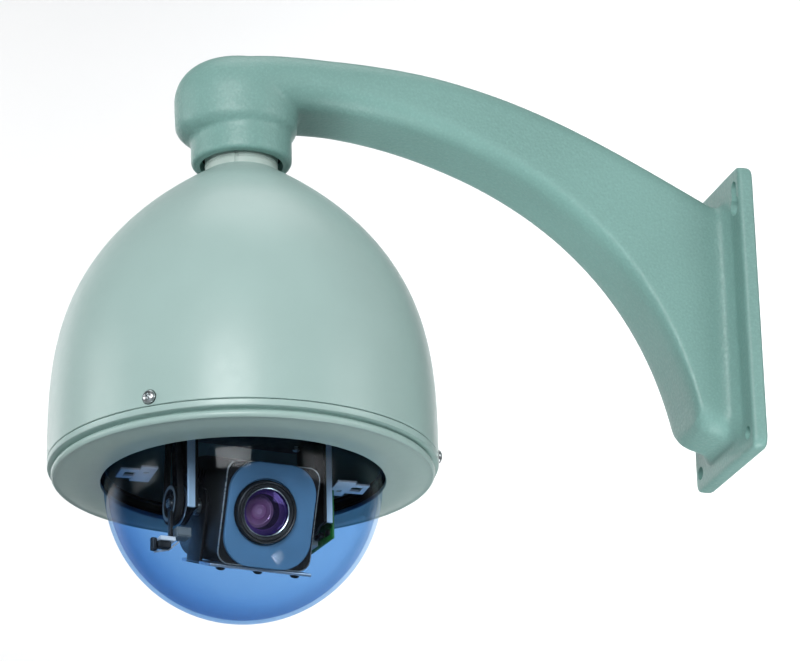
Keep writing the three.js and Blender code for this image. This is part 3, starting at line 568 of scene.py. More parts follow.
def screw_holes():
    """Round holes at the foot of the plate and keyholes at its head, as one cutter."""
    part = Part()
    through = (-PLATE_THICK - 30, 5)
    for side in (-1, 1):
        y = side * HOLE_HALF_SPACING
        part.prism([(y + u, v) for u, v in arc(4.5, 0, 350, 35)], *through, matrix=ALONG_X)
        eye = arc(6.8, 180 - 51, 360 + 51, 40, (y, KEYHOLE_Z))
        slot = arc(4.3, 0, 180, 20, (y, KEYHOLE_Z + KEYHOLE_RISE))
        part.prism(eye + slot, *through, matrix=ALONG_X)
    return part


def bracket_head(part):
    """Head egg-shaped in plan, well rounded on top, over a round collar."""
    crown = []
    for i in range(13):
        angle = math.pi / 24 * i
        crown.append((HEAD_RADIUS - 24 * (1 - math.cos(angle)),
                      HEAD_TOP - 0.4 - 28 * (1 - math.sin(angle))))
    profile = [(0, 191), (30, 191), (33.4, 193.2), (35.8, 196), (37, 199), *crown, (0, HEAD_TOP)]
    head = Part().lathe(profile, 128)
    for vertex in head.shape.verts:
        if vertex.co.x < 0:
            vertex.co.x *= HEAD_STRETCH
    at_axis = moved(AXIS_X, 0, 0)
    part.take(head.shape, at_axis)
    part.lathe(COLLAR, 128, at_axis)


def bracket():
    solid = Part()
    loops = arm_loops(0)
    loops.append([Vector((-PLATE_THICK / 2, p.y, p.z)) for p in loops[-1]])
    loft(solid, loops)
    outline = rounded((-PLATE_HALF, PLATE_HALF), PLATE_Z, 7, 8)
    solid.prism(outline, -PLATE_THICK, 0, 1.2, ALONG_X, segments=3)
    bracket_head(solid)
    body = solid.object("bracket_arm_look", ROW, [PALETTE["bracket_paint"]])
    remesh = body.modifiers.new("cast", "REMESH")
    remesh.mode = "VOXEL"
    remesh.voxel_size = 1.4 * MM
    smooth = body.modifiers.new("soften", "SMOOTH")
    smooth.factor = 0.5
    smooth.iterations = 9
    settle(body)
    hollow = Part()
    inner = arm_loops(CAST_WALL)
    inner.append([Vector((3, p.y, p.z)) for p in inner[-1]])
    loft(hollow, inner)
    carve(body, hollow.object("arm_hollow", ROW))
    carve(body, Part().lathe(HEAD_HOLLOW, 64, moved(AXIS_X, 0, 0)).object("head_hollow", ROW))
    carve(body, screw_holes().object("holes", ROW))
    finish(body, "bracket_arm_look", "housing", "bracket_paint", ROW, ["bracket_arm"], angle=50)


# ------------------------------------------------------------------ neck, shell, trim ring
SHELL_RADIUS = 124.5
SHELL_HEIGHT = 213.5
SHELL_POWER = 3.15
SHELL_WALL = 3
NECK_HOLE = 24.3
NECK_SEAT = 188
RING_SCREW_ANGLES = (228.5, 348.5, 108.5)
RING_SCREW_Z = 6
POST_ANGLES = (45, 180, 315)
POST_RADIUS = 86


def shell_radius(z):
    return SHELL_RADIUS * (1 - (z / SHELL_HEIGHT) ** SHELL_POWER)


def neck_adapter():
    part = Part()
    pipe = [(18, 183.7), (33.2, 183.7), (34, 184.5), (34, 187), (33.4, 187.7), (24.4, 187.7), (24, 188.2),
            (24, 203.4), (23.5, 203.9), (23.5, 205.1), (24, 205.6), (24, 212)]
    for i in range(14):
        z = 212 + i * 2.1
        pipe += [(24, z + 0.3), (23.1, z + 1.2), (24, z + 2.0)]
    pipe += [(23.2, 243), (18.6, 243), (18, 242.4)]
    part.lathe(pipe, 96)
    body = part.object("neck_adapter_look", DOME, [SATIN_STEEL])
    notch = Part().box((-1.2, 1.2), (-25.5, -22.9), (196.5, 212), 0.3)
    carve(body, notch.object("notch", DOME @ turned(-22)))
    finish(body, "neck_adapter_look", "housing", "steel", DOME, ["neck_adapter"])
    for i, angle in enumerate((30, 150, 270)):
        screw = Part().rod(4, 180.6, 183.4, 24, 0.5).rod(2.1, 183, 192, 20, 0.2)
        finish(screw, f"neck_flange_screw_{i + 1}", "housing", "steel",
               DOME @ turned(angle) @ moved(29, 0, 0))


def shell():
    wall = [(shell_radius(z), z) for z in [0.9 + 194.1 * (1 - (1 - i / 46) ** 1.35) for i in range(47)]]
    rim = [(SHELL_RADIUS - 0.4, 0.5)]
    top_height = SHELL_HEIGHT * (1 - NECK_HOLE / SHELL_RADIUS) ** (1 / SHELL_POWER)
    shoulder = [(shell_radius(z), z) for z in (196.2, 197.4, 198.4)]
    neck = [(NECK_HOLE + 0.8, top_height - 0.2), (NECK_HOLE, top_height - 0.9), (NECK_HOLE, NECK_SEAT),
            (35.5, NECK_SEAT)]
    inner = [(shell_radius(z) - SHELL_WALL * (1 + (z / SHELL_HEIGHT) ** 2), z) for z in range(178, 0, -8)]
    part = Part().lathe(rim + wall + shoulder + neck + inner + [(SHELL_RADIUS - SHELL_WALL, 0.5)], 192)
    body = part.object("housing_shell_look", DOME, [PALETTE["housing_paint"]])
    for angle in RING_SCREW_ANGLES:
        hole = Part().rod(2.3, 110, 130, 24, 0.0, ALONG_X @ moved(0, RING_SCREW_Z, 0))
        carve(body, hole.object("hole", DOME @ turned(angle)))
    finish(body, "housing_shell_look", "housing", "housing_paint", DOME, ["housing_shell"], angle=40)
    for i, angle in enumerate(POST_ANGLES):
        place = DOME @ turned(angle)
        boss = Part().rod(8, 96, 156, 32, 0.8, moved(POST_RADIUS, 0, 0))
        obj = boss.object(f"shell_boss_{i + 1}", place, [PALETTE["housing_paint"]])
        within = [(0, 60), *((shell_radius(z) - 1.5, z) for z in range(60, 176, 5)), (0, 175)]
        carve(obj, Part().lathe(within, 96).object("within", place), "INTERSECT")
        finish(obj, f"shell_boss_{i + 1}", "housing", "housing_paint", place)


def trim_ring():
    bead = arc(2.6, 84, -62, 12, (119.4, -8.2))
    underside = [(117.4 - 3 * k, -10.3 - 2.7 * math.sin(math.pi / 2 * min(1, k / 5))) for k in range(9)]
    profile = [(124.1, 0), (124.5, -0.4), (124.5, -3.2), (124.2, -3.9), (123.6, -4.2), (121.2, -4.2),
               (119.4, -4.4), (118.8, -4.9), *bead, (119.3, -9.9), *underside, (90.9, -12.9),
               (90.5, -12.4),
               (90.5, -10.2), (90.7, -10), (102, -10), (102, -3.6), (116.5, -3.6), (117.5, 14),
               (120.6, 14),
               (121.1, 13.4),
               (121.1, 3.2), (119.3, 3.2), (119.3, 0.6), (121.1, 0.6), (121.1, 0)]
    finish(Part().lathe(profile, 192), "trim_ring_look", "housing", "housing_paint", DOME, ["trim_ring"],
           angle=40)


def recess(obj, place, width, length, low, high):
    """Cuts a cross recess into a screw head whose axis is the place's Z."""
    w, l = width / 2, length / 2
    cross = [(l, -w), (l, w), (w, w), (w, l), (-w, l), (-w, w),
             (-l, w), (-l, -w), (-w, -w), (-w, -l), (w, -l), (w, -w)]
    carve(obj, Part().prism(cross, low, high).object("recess", place))


def pan_head_screw(name, place, head, height, shank, depth, body, slot, replaces=()):
    """Cross-recessed screw: its domed head rises along +Z from 0, its threaded shank goes down."""
    turns = max(3, int(depth / 0.9))
    profile = [(0, -depth), (shank * 0.6, -depth)]
    for i in range(turns):
        z = -depth + depth * i / turns
        profile += [(shank, z + 0.35 * depth / turns), (shank * 0.82, z + 0.8 * depth / turns)]
    profile += [(shank, 0), (head * 0.96, 0), (head, height * 0.15)]
    for i in range(1, 8):
        angle = math.pi / 2 * i / 8
        profile.append((head * math.cos(angle), height * (0.15 + 0.85 * math.sin(angle))))
    obj = Part().lathe(profile + [(0, height)], 32).object(name, place, [PALETTE[slot]])
    recess(obj, place, head * 0.2, head * 1.25, height * 0.35, height + 1)
    finish(obj, name, body, slot, place, replaces)


def ring_screws():
    out = Matrix.Rotation(math.pi / 2, 4, "Y")
    for i, angle in enumerate(RING_SCREW_ANGLES):
        place = DOME @ turned(angle) @ moved(SHELL_RADIUS + 0.05, 0, RING_SCREW_Z) @ out
        pan_head_screw(f"ring_screw_{i + 1}_look", place, 4.4, 2.9, 2, 11.5, "housing", "steel",
                       [f"ring_screw_{i + 1}"])
        washer = Part().lathe([(2.3, -0.1), (4.7, -0.1), (4.8, 0.1), (4.6, 0.4), (2.3, 0.4)], 32)
        finish(washer, f"ring_screw_washer_{i + 1}", "housing", "black_metal", place)


def bubble():
    centre, radius, wall = -14, 88.5, 2.5
    outer = arc(radius, -90, 0, 40, (0, centre))
    outer[0] = (0, centre - radius)
    inner = arc(radius - wall, 0, -90, 40, (0, centre))
    inner[-1] = (0, centre - radius + wall)
    flange = [(radius, -8.7), (radius + 0.6, -8.1), (101, -8.1), (101.5, -7.6), (101.5, -6.2),
              (101, -5.7),
              (radius - wall + 0.5, -5.7), (radius - wall, -6.3)]
    finish(Part().lathe(outer + flange + inner, 160), "bubble_look", "housing", "clear_bubble", DOME,
           ["bubble"])


def clamp_ring():
    profile = [(88.2, -5.1), (111.6, -5.1), (112, -4.7), (112, -3), (111.6, -2.6), (88.2, -2.6),
               (88, -2.9), (88, -4.8)]
    finish(Part().lathe(profile, 160), "bubble_clamp_ring_look", "housing", "black_metal", DOME,
           ["bubble_clamp_ring"])
    for i, angle in enumerate(RING_SCREW_ANGLES):
        place = DOME @ turned(angle + 60) @ moved(107.5, 0, -2.5)
        pan_head_screw(f"clamp_screw_{i + 1}", place, 3, 1.8, 1.5, 6, "housing", "steel")


# ------------------------------------------------------------------ fixed chassis
EAR_Z = -12
SHEET = 1.5


def ear(name, turn):
    """Sheet foot with a square window and a round lug hole, under a leg that hangs from the chassis."""
    foot = [(58.5, -14), (71, -14), (71, -9), (81, -9), (81, 8), (69, 8), (69, 14), (58.5, 14)]
    place = DOME @ turned(turn)

    outer, chassis_z = 81, 71.7
    part = Part().prism(foot, EAR_Z, EAR_Z + SHEET, 0.3)
    part.box((outer - SHEET, outer), (-9, 8), (EAR_Z + 0.2, chassis_z), 0.35)
    part.box((73, outer), (-9, 8), (chassis_z - SHEET, chassis_z), 0.35)
    cutters = [Part().box((70.5, 77.5), (-5, 3), (EAR_Z - 2, EAR_Z + 4), 0.5),
               Part().rod(2, EAR_Z - 2, EAR_Z + 4, 24, 0, moved(64, 4, 0))]
    hollowed(name + "_look", "housing", "white_sheet", place, part, cutters, [name])


def chassis():
    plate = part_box("chassis_plate")
    low = plate[0][2] / MM - SEAM_Z
    for i, angle in enumerate((20, 75, 160, 200, 245, 340)):
        place = DOME @ turned(angle) @ moved(97, 0, low) @ Matrix.Rotation(math.pi, 4, "X")
        pan_head_screw(f"chassis_screw_{i + 1}", place, 2.6, 1.6, 1.3, 2.2, "housing", "steel")


def pan_motor():
    part = Part().lathe([(0, 53), (18.8, 53), (20, 54.2), (20, 56), (19.4, 56.3), (19.4, 57), (20, 57.3),
                         (20, 69.5),
                         (19.4, 69.8), (19.4, 70.4), (20, 70.7), (20, 71.2), (19.5, 71.7), (5, 71.7),
                         (5, 74.5),
                         (2.9, 74.5), (2.9, 64), (0, 64)], 64)
    for k in range(4):
        at = turned(45 + 90 * k) @ moved(15, 0, 0)
        part.rod(1.6, 51.9, 53.3, 16, 0.3, at)
    part.box((-7, 7), (18.5, 23.5), (58, 66), 0.5)
    place = DOME @ moved(0, 68, 0)
    finish(part, "pan_motor_look", "housing", "black_metal", place, ["pan_motor"])


FAN_BLADES = 7


def blade_sections():
    """Four-cornered sections of one fan blade, from its root to its tip."""
    root, tip, height, sections = 6.8, 17.3, 80.4, 7
    half_chord, half_thick = 3.2, 0.35
    rows = []
    for step in range(sections):
        radius = root + (tip - root) * step / (sections - 1)
        lean = math.radians(62 - 5 * step)
        sweep = 0.06 * step
        level = Vector((-math.sin(sweep), math.cos(sweep), 0)) * math.cos(lean)
        across = (level + Vector((0, 0, math.sin(lean)))) * half_chord
        centre = Vector((radius * math.cos(sweep), radius * math.sin(sweep), height))
        thin = Vector((0, -math.sin(lean), math.cos(lean))) * half_thick
        rows.append([centre + across + thin, centre + across - thin,
                     centre - across - thin, centre - across + thin])
    return rows


def fan():
    surround = Part().prism(rounded((-20, 20), (-20, 20), 3, 6), 74.8, 84.5, 0.4)
    cutters = [Part().lathe([(0, 70), (18.3, 70), (18.3, 90), (0, 90)], 64)]
    cutters += [Part().rod(1.7, 70, 90, 20, 0, moved(x, y, 0))
                for x in (-16.4, 16.4) for y in (-16.4, 16.4)]
    place = DOME @ moved(66, 0, 0)
    hollowed("fan_frame_look", "housing", "black_plastic", place, surround, cutters, ["fan_frame"])
    spider = Part().rod(8, 74.8, 76.4, 32, 0.3)
    for k in range(3):
        spider.box((-19, 19), (-0.9, 0.9), (74.9, 76.3), 0.3, turned(60 * k))
    finish(spider, "fan_spider", "housing", "black_plastic", place)
    rotor = Part().lathe([(0, 76.8), (7, 76.8), (7.5, 77.3), (7.5, 83.6), (7, 84.1), (0, 84.1)], 40)
    for k in range(FAN_BLADES):
        loft(rotor, blade_sections(), turned(360 / FAN_BLADES * k))
    finish(rotor, "fan_rotor_look", "fan", "black_plastic", place, ["fan_rotor"])


# ------------------------------------------------------------------ pan head
PLATFORM_Z = 22
TILT_MOTOR_Z = 43.5


def platform():
    deck = Part().prism(rounded((-42.5, 56), (-30, 30), 10, 10), PLATFORM_Z, PLATFORM_Z + 3, 0.5)
    deck.box((-42.2, 55.7), (-29.8, -28.3), (PLATFORM_Z + 0.5, PLATFORM_Z + 3.4), 0.4)
    through = (PLATFORM_Z - 2, PLATFORM_Z + 6)
    cutters = [Part().rod(6.7, *through, 40, 0)]
    cutters += [Part().rod(3, *through, 24, 0, moved(x, -20, 0)) for x in (-18, 30)]
    hollowed("pan_platform_look", "pan_head", "black_metal", PAN, deck, cutters, ["pan_platform"])
    for i, (x, y) in enumerate([(-36, -15), (-36, 15), (43, -15), (43, 15), (-14, 0), (14, 0)]):
        place = PAN @ moved(x, y, PLATFORM_Z - (2.3 if abs(x) > 20 else 0)) @ turned(180, "X")
        pan_head_screw(f"platform_screw_{i + 1}", place, 2.6, 1.6, 1.4, 2.2, "pan_head", "steel")


def yoke_arm(name, web, flange, foot, peg=None):
    """Folded sheet arm: a web narrowing to the tilt axis, a front flange and a top foot."""
    top = PLATFORM_Z - 0.3
    low = TILT_Z - 8
    outline = [(-22, top), (-22, low), (-14, low), *arc(6.5, 235, 305, 6, (0, TILT_Z - 6.6)),
               (11, TILT_Z - 9), (18, TILT_Z + 12), (22, top)]
    part = Part().prism(outline, *web, 0.3, ALONG_X)
    part.box(foot, (-22, 22), (top - 2, top), 0.4)
    if peg:
        part.rod(2.5, *peg, 24, 0.3, ALONG_X @ moved(-10, -22, 0))
    # Web and foot coloured black as painted shade; the arm itself is aluminium, like its front flange
    # strip.
    obj = part.object(name + "_look", PAN, [BLACK_SHEET])
    through = (web[0] - 2, web[1] + 2)
    for cutter in (Part().rod(6.3, *through, 40, 0, ALONG_X @ moved(0, TILT_Z, 0)),
                   Part().prism(rounded((-12, 8), (-12, 8), 3), *through, 0, ALONG_X)):
        carve(obj, cutter.object("cutter", PAN))
    finish(obj, name + "_look", "pan_head", "aluminium", PAN, [name])
    strip = Part().box(flange, (-22, -20), (low, top), 0.4)
    strip = strip.object(name + "_flange", PAN, [YOKE_SHEET])
    finish(strip, name + "_flange", "pan_head", "aluminium", PAN)


def yokes():
    yoke_arm("yoke_arm_left", (-41, -39), (-46, -41), (-41, -31))
    yoke_arm("yoke_arm_right", (46, 48), (48, 52), (38, 48), (47, 53.7))
    for name, low, high in (("left", -42, -37.5), ("right", 44.5, 49)):
        profile = [(3.3, low), (5.7, low), (6, low + 0.3), (6, high - 0.3), (5.7, high), (3.3, high)]
        part = Part().lathe(profile, 48, ALONG_X)
        place = PAN @ moved(0, 0, TILT_Z)
        finish(part, f"tilt_bush_{name}_look", "pan_head", "brass", place, [f"tilt_bush_{name}"])


def belt(name, place, span, big, small, low, high, body):
    """Closed belt round two wheels, their centres at (0, 0) and (0, span)."""
    grow, thick, step = 0.6, 1.2, 0.4

    def outline(extra):
        big_r, small_r = big + grow + extra, small + grow + extra
        lean = math.degrees(math.asin((big_r - small_r) / span))
        points = arc(big_r, 180 - lean, 360 + lean, 96) + arc(small_r, lean, 180 - lean, 32, (0, span))
        fine = []
        for a, b in zip(points, points[1:] + points[:1]):
            count = max(1, round(math.dist(a, b) / step))
            fine += [(a[0] + (b[0] - a[0]) * k / count,
                      a[1] + (b[1] - a[1]) * k / count) for k in range(count)]
        return fine

    loop = Part().prism(outline(thick), low, high, 0.15)
    inside = Part().prism(outline(0), low - 1, high + 1)
    hollowed(name + "_look", body, "rubber", place, loop, [inside], [name])


def toothed(radius, low, high, teeth, matrix):
    """Pinion with straight teeth."""
    depth = 0.6
    outline = []
    for k in range(teeth):
        for share, r in ((0.0, radius), (0.42, radius), (0.55, radius - depth), (0.87, radius - depth)):
            a = TURN * (k + share) / teeth
            outline.append((r * math.cos(a), r * math.sin(a)))
    return Part().prism(outline, low, high, 0.12, matrix, segments=1)


def tilt_drive():
    axis = ALONG_X @ moved(0, TILT_MOTOR_Z, 0)
    motor = Part().lathe([(0, -22), (13.8, -22), (15.5, -23.2), (15.5, -26), (15, -26.3), (15, -27),
                          (15.5, -27.3),
                          (15.5, -38.2), (15, -38.7), (5, -38.7), (5, -41.5), (2.9, -41.5), (2.9, -30),
                          (0, -30)],
                         56, axis)
    motor.box((-34, -26), (-6, 6), (TILT_MOTOR_Z + 14.5, TILT_MOTOR_Z + 19), 0.5)
    finish(motor, "tilt_motor_look", "pan_head", "black_metal", PAN, ["tilt_motor"])
    bracket_part = Part().prism(rounded((-20, 20), (25.3, 63.5), 4, 6), -41, -39, 0.3, ALONG_X)
    bracket_part.box((-41, -33), (-20, 20), (25.3, 27), 0.4)
    cutters = [Part().rod(5.5, -45, -36, 40, 0, axis)]
    for y in (-14, 14):
        slot = rounded((y - 1.8, y + 1.8), (50, 58), 1.7, 6)
        cutters.append(Part().prism(slot, -45, -36, 0, ALONG_X))
    hollowed("tilt_motor_bracket_look", "pan_head", "steel", PAN, bracket_part, cutters,
             ["tilt_motor_bracket"])
    pinion = toothed(4, -50.2, -44.8, 13, axis)
    pinion.rod(2.5, -51.5, -31, 32, 0.3, axis).rod(4.9, -44.8, -44.1, 40, 0.2, axis)
    finish(pinion, "tilt_pinion_look", "tilt_pinion_gear", "brass", PAN, ["tilt_pinion"])
    place = PAN @ moved(0, 0, TILT_Z) @ ALONG_X
    belt("tilt_belt", place, TILT_MOTOR_Z - TILT_Z, 12, 4, -49.5, -45.5, "pan_head")


def limit_switch():
    """Switch under the pulley, hung on a link, with its lever, roller, tape and a thin bent strap."""
    switch = Part().box((-51, -41.3), (-16, -5), (-58, -51.7), 0.5)
    switch.box((-50.4, -41.9), (-16.8, -13.6), (-57.4, -52.4), 0.3)
    finish(switch, "tilt_limit_switch_look", "pan_head", "grey_plastic", PAN, ["tilt_limit_switch"])
    for name, x, y, z, slot in [("switch_link", (-54.6, -52.4), (-13, -9), (-60, -41), "black_metal"),
                                ("switch_tape", (-61.5, -51.3), (-15, -7), (-61.2, -58.4), "white_sheet"),
                                ("switch_clip", (-62.5, -54), (-14, -8), (-65.6, -61.4),
                                 "black_plastic")]:
        finish(Part().box(x, y, z, 0.4), name, "pan_head", slot, PAN)
    at = moved(-64.6, -11, 0)
    finish(Part().rod(2.2, -67.5, -59.5, 28, 0.5, at), "switch_roller", "pan_head", "black_plastic", PAN)
    strap = Part()
    for x, z, length, lean in [(-50.2, -62.2, 9, -42), (-58, -66.2, 11, -14)]:
        strap.box((-length / 2, length / 2), (-8.6, -7.4), (-0.5, 0.5), 0.2,
                  moved(x, 0, z) @ turned(lean, "Y"))
    finish(strap, "switch_strap", "pan_head", "white_sheet", PAN)


def control_board():
    board = Part().box((54, 55.6), (-16, 30), (-48, -16), 0.2)
    finish(board, "control_board_look", "pan_head", "circuit_board", PAN, ["control_board"])
    chips = Part()
    for y, z, w, h, rise in [(-6, -30, 9, 9, 1.6), (8, -26, 12, 7, 1.8), (22, -30, 8, 10, 1.6),
                             (-10, -43, 6, 4, 1.2),
                             (14, -38, 5, 4, 1.2)]:
        chips.box((54 - rise, 54.1), (y - w / 2, y + w / 2), (z - h / 2, z + h / 2), 0.25)
    for y in (-2, 4, 26):
        chips.rod(1.9, 50.6, 54.1, 20, 0.4, ALONG_X @ moved(y, -42.5, 0))
    finish(chips, "board_chips", "pan_head", "black_plastic", PAN)
    legs = Part()
    for y, z, w, h in [(-6, -30, 9, 9), (8, -26, 12, 7), (22, -30, 8, 10)]:
        for k in range(6):
            at = y - w / 2 + 0.9 + (w - 1.8) * k / 5
            legs.box((53.3, 54.1), (at - 0.25, at + 0.25), (z - h / 2 - 1.2, z + h / 2 + 1.2), 0)
    finish(legs, "board_chip_legs", "pan_head", "steel", PAN)
    plug = Part().box((48.6, 53.7), (6, 22), (-47, -40), 0.4)
    socket = Part().box((46, 50.5), (7.5, 20.5), (-45.5, -41.5), 0.2)
    hollowed("board_connector_look", "pan_head", "white_plastic", PAN, plug, [socket],
             ["board_connector"])
    for i, y in enumerate((-13, 27)):
        screw_place = PAN @ moved(53.9, y, -20) @ turned(-90, "Y")
        pan_head_screw(f"board_screw_{i + 1}", screw_place, 2.4, 1.5, 1.2, 1.5, "pan_head", "steel")


# ------------------------------------------------------------------ camera module
CASE = {"left": -27.5, "right": 35.5, "half": 33, "front": -34, "back": 38, "corner": 13, "wall": 2}
LENS_AXIS = ALONG_Y @ moved(0, LENS_Z, 0)


def case_outline(inset, corner):
    x = (-CASE["right"] + inset, -CASE["left"] - inset)
    return rounded(x, (-CASE["half"] + inset, CASE["half"] - inset), corner, 12)


def camera_case():
    front, back, wall = CASE["front"], CASE["back"], CASE["wall"]
    middle, side_x = (CASE["left"] + CASE["right"]) / 2, (CASE["right"] - CASE["left"]) / 2
    box = Part().prism(case_outline(0, CASE["corner"]), front, back, 0.8, ALONG_Y)
    hole = ALONG_Y @ moved(-10, -18, 0)
    inside = case_outline(wall, CASE["corner"] - wall)
    cutters = [Part().prism(inside, front - 1, back - wall, 0, ALONG_Y),
               Part().rod(5, back - 6, back + 2, 32, 0, hole)]
    for x in (middle - side_x, middle + side_x):
        for y in range(6, 31, 5):
            cutters.append(Part().box((x - 4, x + 4), (y - 1, y + 1), (14, 24), 0.6))
    hollowed("camera_case_look", "camera_module", "black_plastic", TILT, box, cutters, ["camera_case"])


def camera_face():
    front = CASE["front"]
    x = (-CASE["right"] + 2.5, -CASE["left"] - 2.5)
    outline = rounded(x, (-CASE["half"], CASE["half"]), CASE["corner"] + 6, 16)
    plate = Part().prism(outline, front - 4, front - 0.3, 0.8, ALONG_Y, segments=3)
    hole = Part().lathe([(0, front - 8), (22.4, front - 8), (20.6, front - 2.6), (20, front - 2.2),
                         (20, front + 2), (0, front + 2)], 96, LENS_AXIS)
    hollowed("camera_face_look", "camera_module", "face_plastic", TILT, plate, [hole], ["camera_face"])
    outer, inner = case_outline(0.2, CASE["corner"] - 5), case_outline(0.8, CASE["corner"] - 5.4)
    hollowed("case_front_edge", "camera_module", "steel", TILT,
             Part().prism(outer, front - 1.2, front - 0.05, 0.2, ALONG_Y),
             [Part().prism(inner, front - 3, front + 2, 0, ALONG_Y)])
    hollowed("case_front_mask", "camera_module", "black_metal", TILT,
             Part().prism(inner, front - 0.9, front - 0.1, 0, ALONG_Y),
             [Part().rod(21, front - 5, front + 5, 64, 0, LENS_AXIS)])


def lens():
    barrel = [(17.6, -40), (18.2, -41.6), (19, -42), (19.6, -41.6), (19.6, -30)]
    for k in range(4):
        z = -29 + 4 * k
        barrel += [(19.6, z), (19.1, z + 0.3), (19.1, z + 1.2), (19.6, z + 1.5)]
    barrel += [(19.6, 2), (19, 2), (19, 4), (13.4, 4), (13.4, 2), (17, 2), (17, -33), (17.3, -33.4),
               (17.3, -36)]
    finish(Part().lathe(barrel, 112, LENS_AXIS), "lens_barrel_look", "camera_module", "black_plastic",
           TILT,
           ["lens_barrel"])
    ridge = [(15.2, -40.2), (15.8, -41), (17.4, -41.5), (18, -41), (18, -39.6), (15.2, -39.2)]
    finish(Part().lathe(ridge, 96, LENS_AXIS), "lens_front_ring", "camera_module", "black_plastic", TILT)
    silver = [(14.7, -40.1), (15.2, -40.4), (15.4, -40), (15.4, -39.2), (14.7, -39.2)]
    finish(Part().lathe(silver, 96, LENS_AXIS), "lens_silver_ring", "camera_module", "steel", TILT)
    glass = [(0, -40.4)] + [(16.5 * s, -40.4 + 2.4 * s * s) for s in (0.2, 0.4, 0.6, 0.8, 1.0)]
    glass += [(16.6, -37.6), (16.6, -36.8), (14, -35.6), (8, -34.8), (0, -34.6)]
    finish(Part().lathe(glass, 80, LENS_AXIS), "front_lens_look", "camera_module", "lens_glass", TILT,
           ["front_lens"])
    funnel = [(16.2, -36), (16.2, -33.5), (11.2, -33.5), (11.2, -33.9), (12.2, -34.1), (12.2, -34.5),
              (13.2, -34.6),
              (13.2, -35.1), (14.4, -35.2), (15.2, -36)]
    obj = Part().lathe(funnel, 96, LENS_AXIS).object("lens_funnel", TILT, [LENS_VIOLET])
    finish(obj, "lens_funnel", "camera_module", "lens_glass", TILT)
    second = [(0, -26.6)] + [(10.6 * s, -26.6 + 2.2 * s * s) for s in (0.2, 0.4, 0.6, 0.8, 1.0)]
    second += [(10.6, -24), (0, -24)]
    obj = Part().lathe(second, 80, LENS_AXIS).object("second_lens", TILT, [LENS_PINK])
    finish(obj, "second_lens", "zoom_cell", "lens_glass", TILT)
    for i, (low, high, z) in enumerate([(8.2, 9.2, -25.3), (4.6, 5.3, -26.3), (1.5, 2.4, -26.7)]):
        ring = [(low, z), ((low + high) / 2, z - 0.3), (high, z), (high, z + 0.8), (low, z + 0.8)]
        obj = Part().lathe(ring, 80, LENS_AXIS).object(f"lens_ring_{i + 1}", TILT, [LENS_PINK])
        finish(obj, f"lens_ring_{i + 1}", "zoom_cell", "lens_glass", TILT)
    for name, body, low in (("zoom", "zoom_cell", -26), ("focus", "focus_cell", -10)):
        inner = 11 if name == "zoom" else 9
        high = low + (8 if name == "zoom" else 6)
        mid = (low + high) / 2
        cell = [(inner, low), (16.1, low), (16.5, low + 0.4), (16.5, high - 0.4), (16.1, high),
                (inner, high),
                (inner, mid + 1), (0, mid + 1.4), (0, mid - 1.4), (inner, mid - 1)]
        obj = Part().lathe(cell, 72, LENS_AXIS)
        finish(obj, f"{name}_group_look", body, "black_plastic", TILT, [f"{name}_group"])


def cradle():
    left, right, half = CASE["left"], CASE["right"], CASE["half"]
    under = -half - 2.3

    ear_outline = [(-12, under), (12, under), (12, 4), *arc(12, 20, 160, 14, (0, 0.5)), (-12, 4)]
    part = Part().box((left - 2.5, right + 2.5), (-33, 20), (under, under + 2), 0.5)
    for x in (left - 2.5, right + 0.5):
        part.prism(ear_outline, x, x + 2, 0.35, ALONG_X, material=1)
    cutters = [Part().rod(3.3, left - 8, right + 8, 32, 0, ALONG_X)]
    cutters += [Part().rod(1.9, under - 2, under + 4, 24, 0, moved(x, -27, 0))
                for x in (-21, 4, 29)]
    cutters += [Part().prism(rounded((x - 5, x + 5), (-8, 10), 3), under - 2, under + 4)
                for x in (-10, 18)]
    hollowed("camera_cradle_look", "camera_module", "aluminium", TILT, part, cutters,
             ["camera_cradle"], [BLACK_SHEET])
    for i, x in enumerate((-21, 4, 29)):
        place = TILT @ moved(x, -27, under - 0.3) @ turned(180, "X")
        pan_head_screw(f"cradle_screw_{i + 1}_look", place, 3, 1.8, 1.5, 1.9, "camera_module",
                       "black_metal",
                       [f"cradle_screw_{i + 1}"])


def tilt_shafts():
    left, right = CASE["left"], CASE["right"]
    ends = (("left", -51.5, left - 0.3, left - 5.5, left - 2.8),
            ("right", right + 0.3, 52, right + 2.8, right + 5.5))
    for name, low, high, collar_low, collar_high in ends:
        part = Part().rod(3, low, high, 40, 0.4, ALONG_X).rod(5.5, collar_low, collar_high, 40, 0.35,
                                                              ALONG_X)
        finish(part, f"tilt_shaft_{name}_look", "camera_module", "steel", TILT, [f"tilt_shaft_{name}"])
    pulley = Part().lathe([(3.3, -49.6), (4.8, -49.6), (5.2, -49.2), (5.2, -48.4), (8.4, -48.4),
                           (8.9, -48.9),
                           (9.1, -50.1), (9.5, -50.5), (11.6, -50.5), (12, -50.1), (12, -49.6),
                           (11.4, -49.3),
                           (11.4, -45.7), (12, -45.4), (12, -44.9), (11.6, -44.5), (3.3, -44.5)], 96,
                           ALONG_X)
    obj = pulley.object("tilt_pulley_look", TILT, [PALETTE["black_metal"]])
    for k in range(5):
        hole = Part().rod(1.5, -55, -40, 24, 0, ALONG_X @ turned(72 * k) @ moved(6.8, 0, 0))
        carve(obj, hole.object("hole", TILT))
    finish(obj, "tilt_pulley_look", "camera_module", "black_metal", TILT, ["tilt_pulley"])
    rim = Part().lathe([(9.3, -50.6), (11.3, -50.6), (11.6, -50.4), (9.1, -50.4)], 96, ALONG_X)
    finish(rim, "pulley_rim", "camera_module", "grey_plastic", TILT)
    guard = Part().lathe([(6.5, -43.9), (12.6, -43.9), (13, -43.6), (13, -43.1), (6.5, -43.1)], 80,
                         ALONG_X)
    finish(guard, "pulley_guard", "pan_head", "aluminium", PAN @ moved(0, 0, TILT_Z))


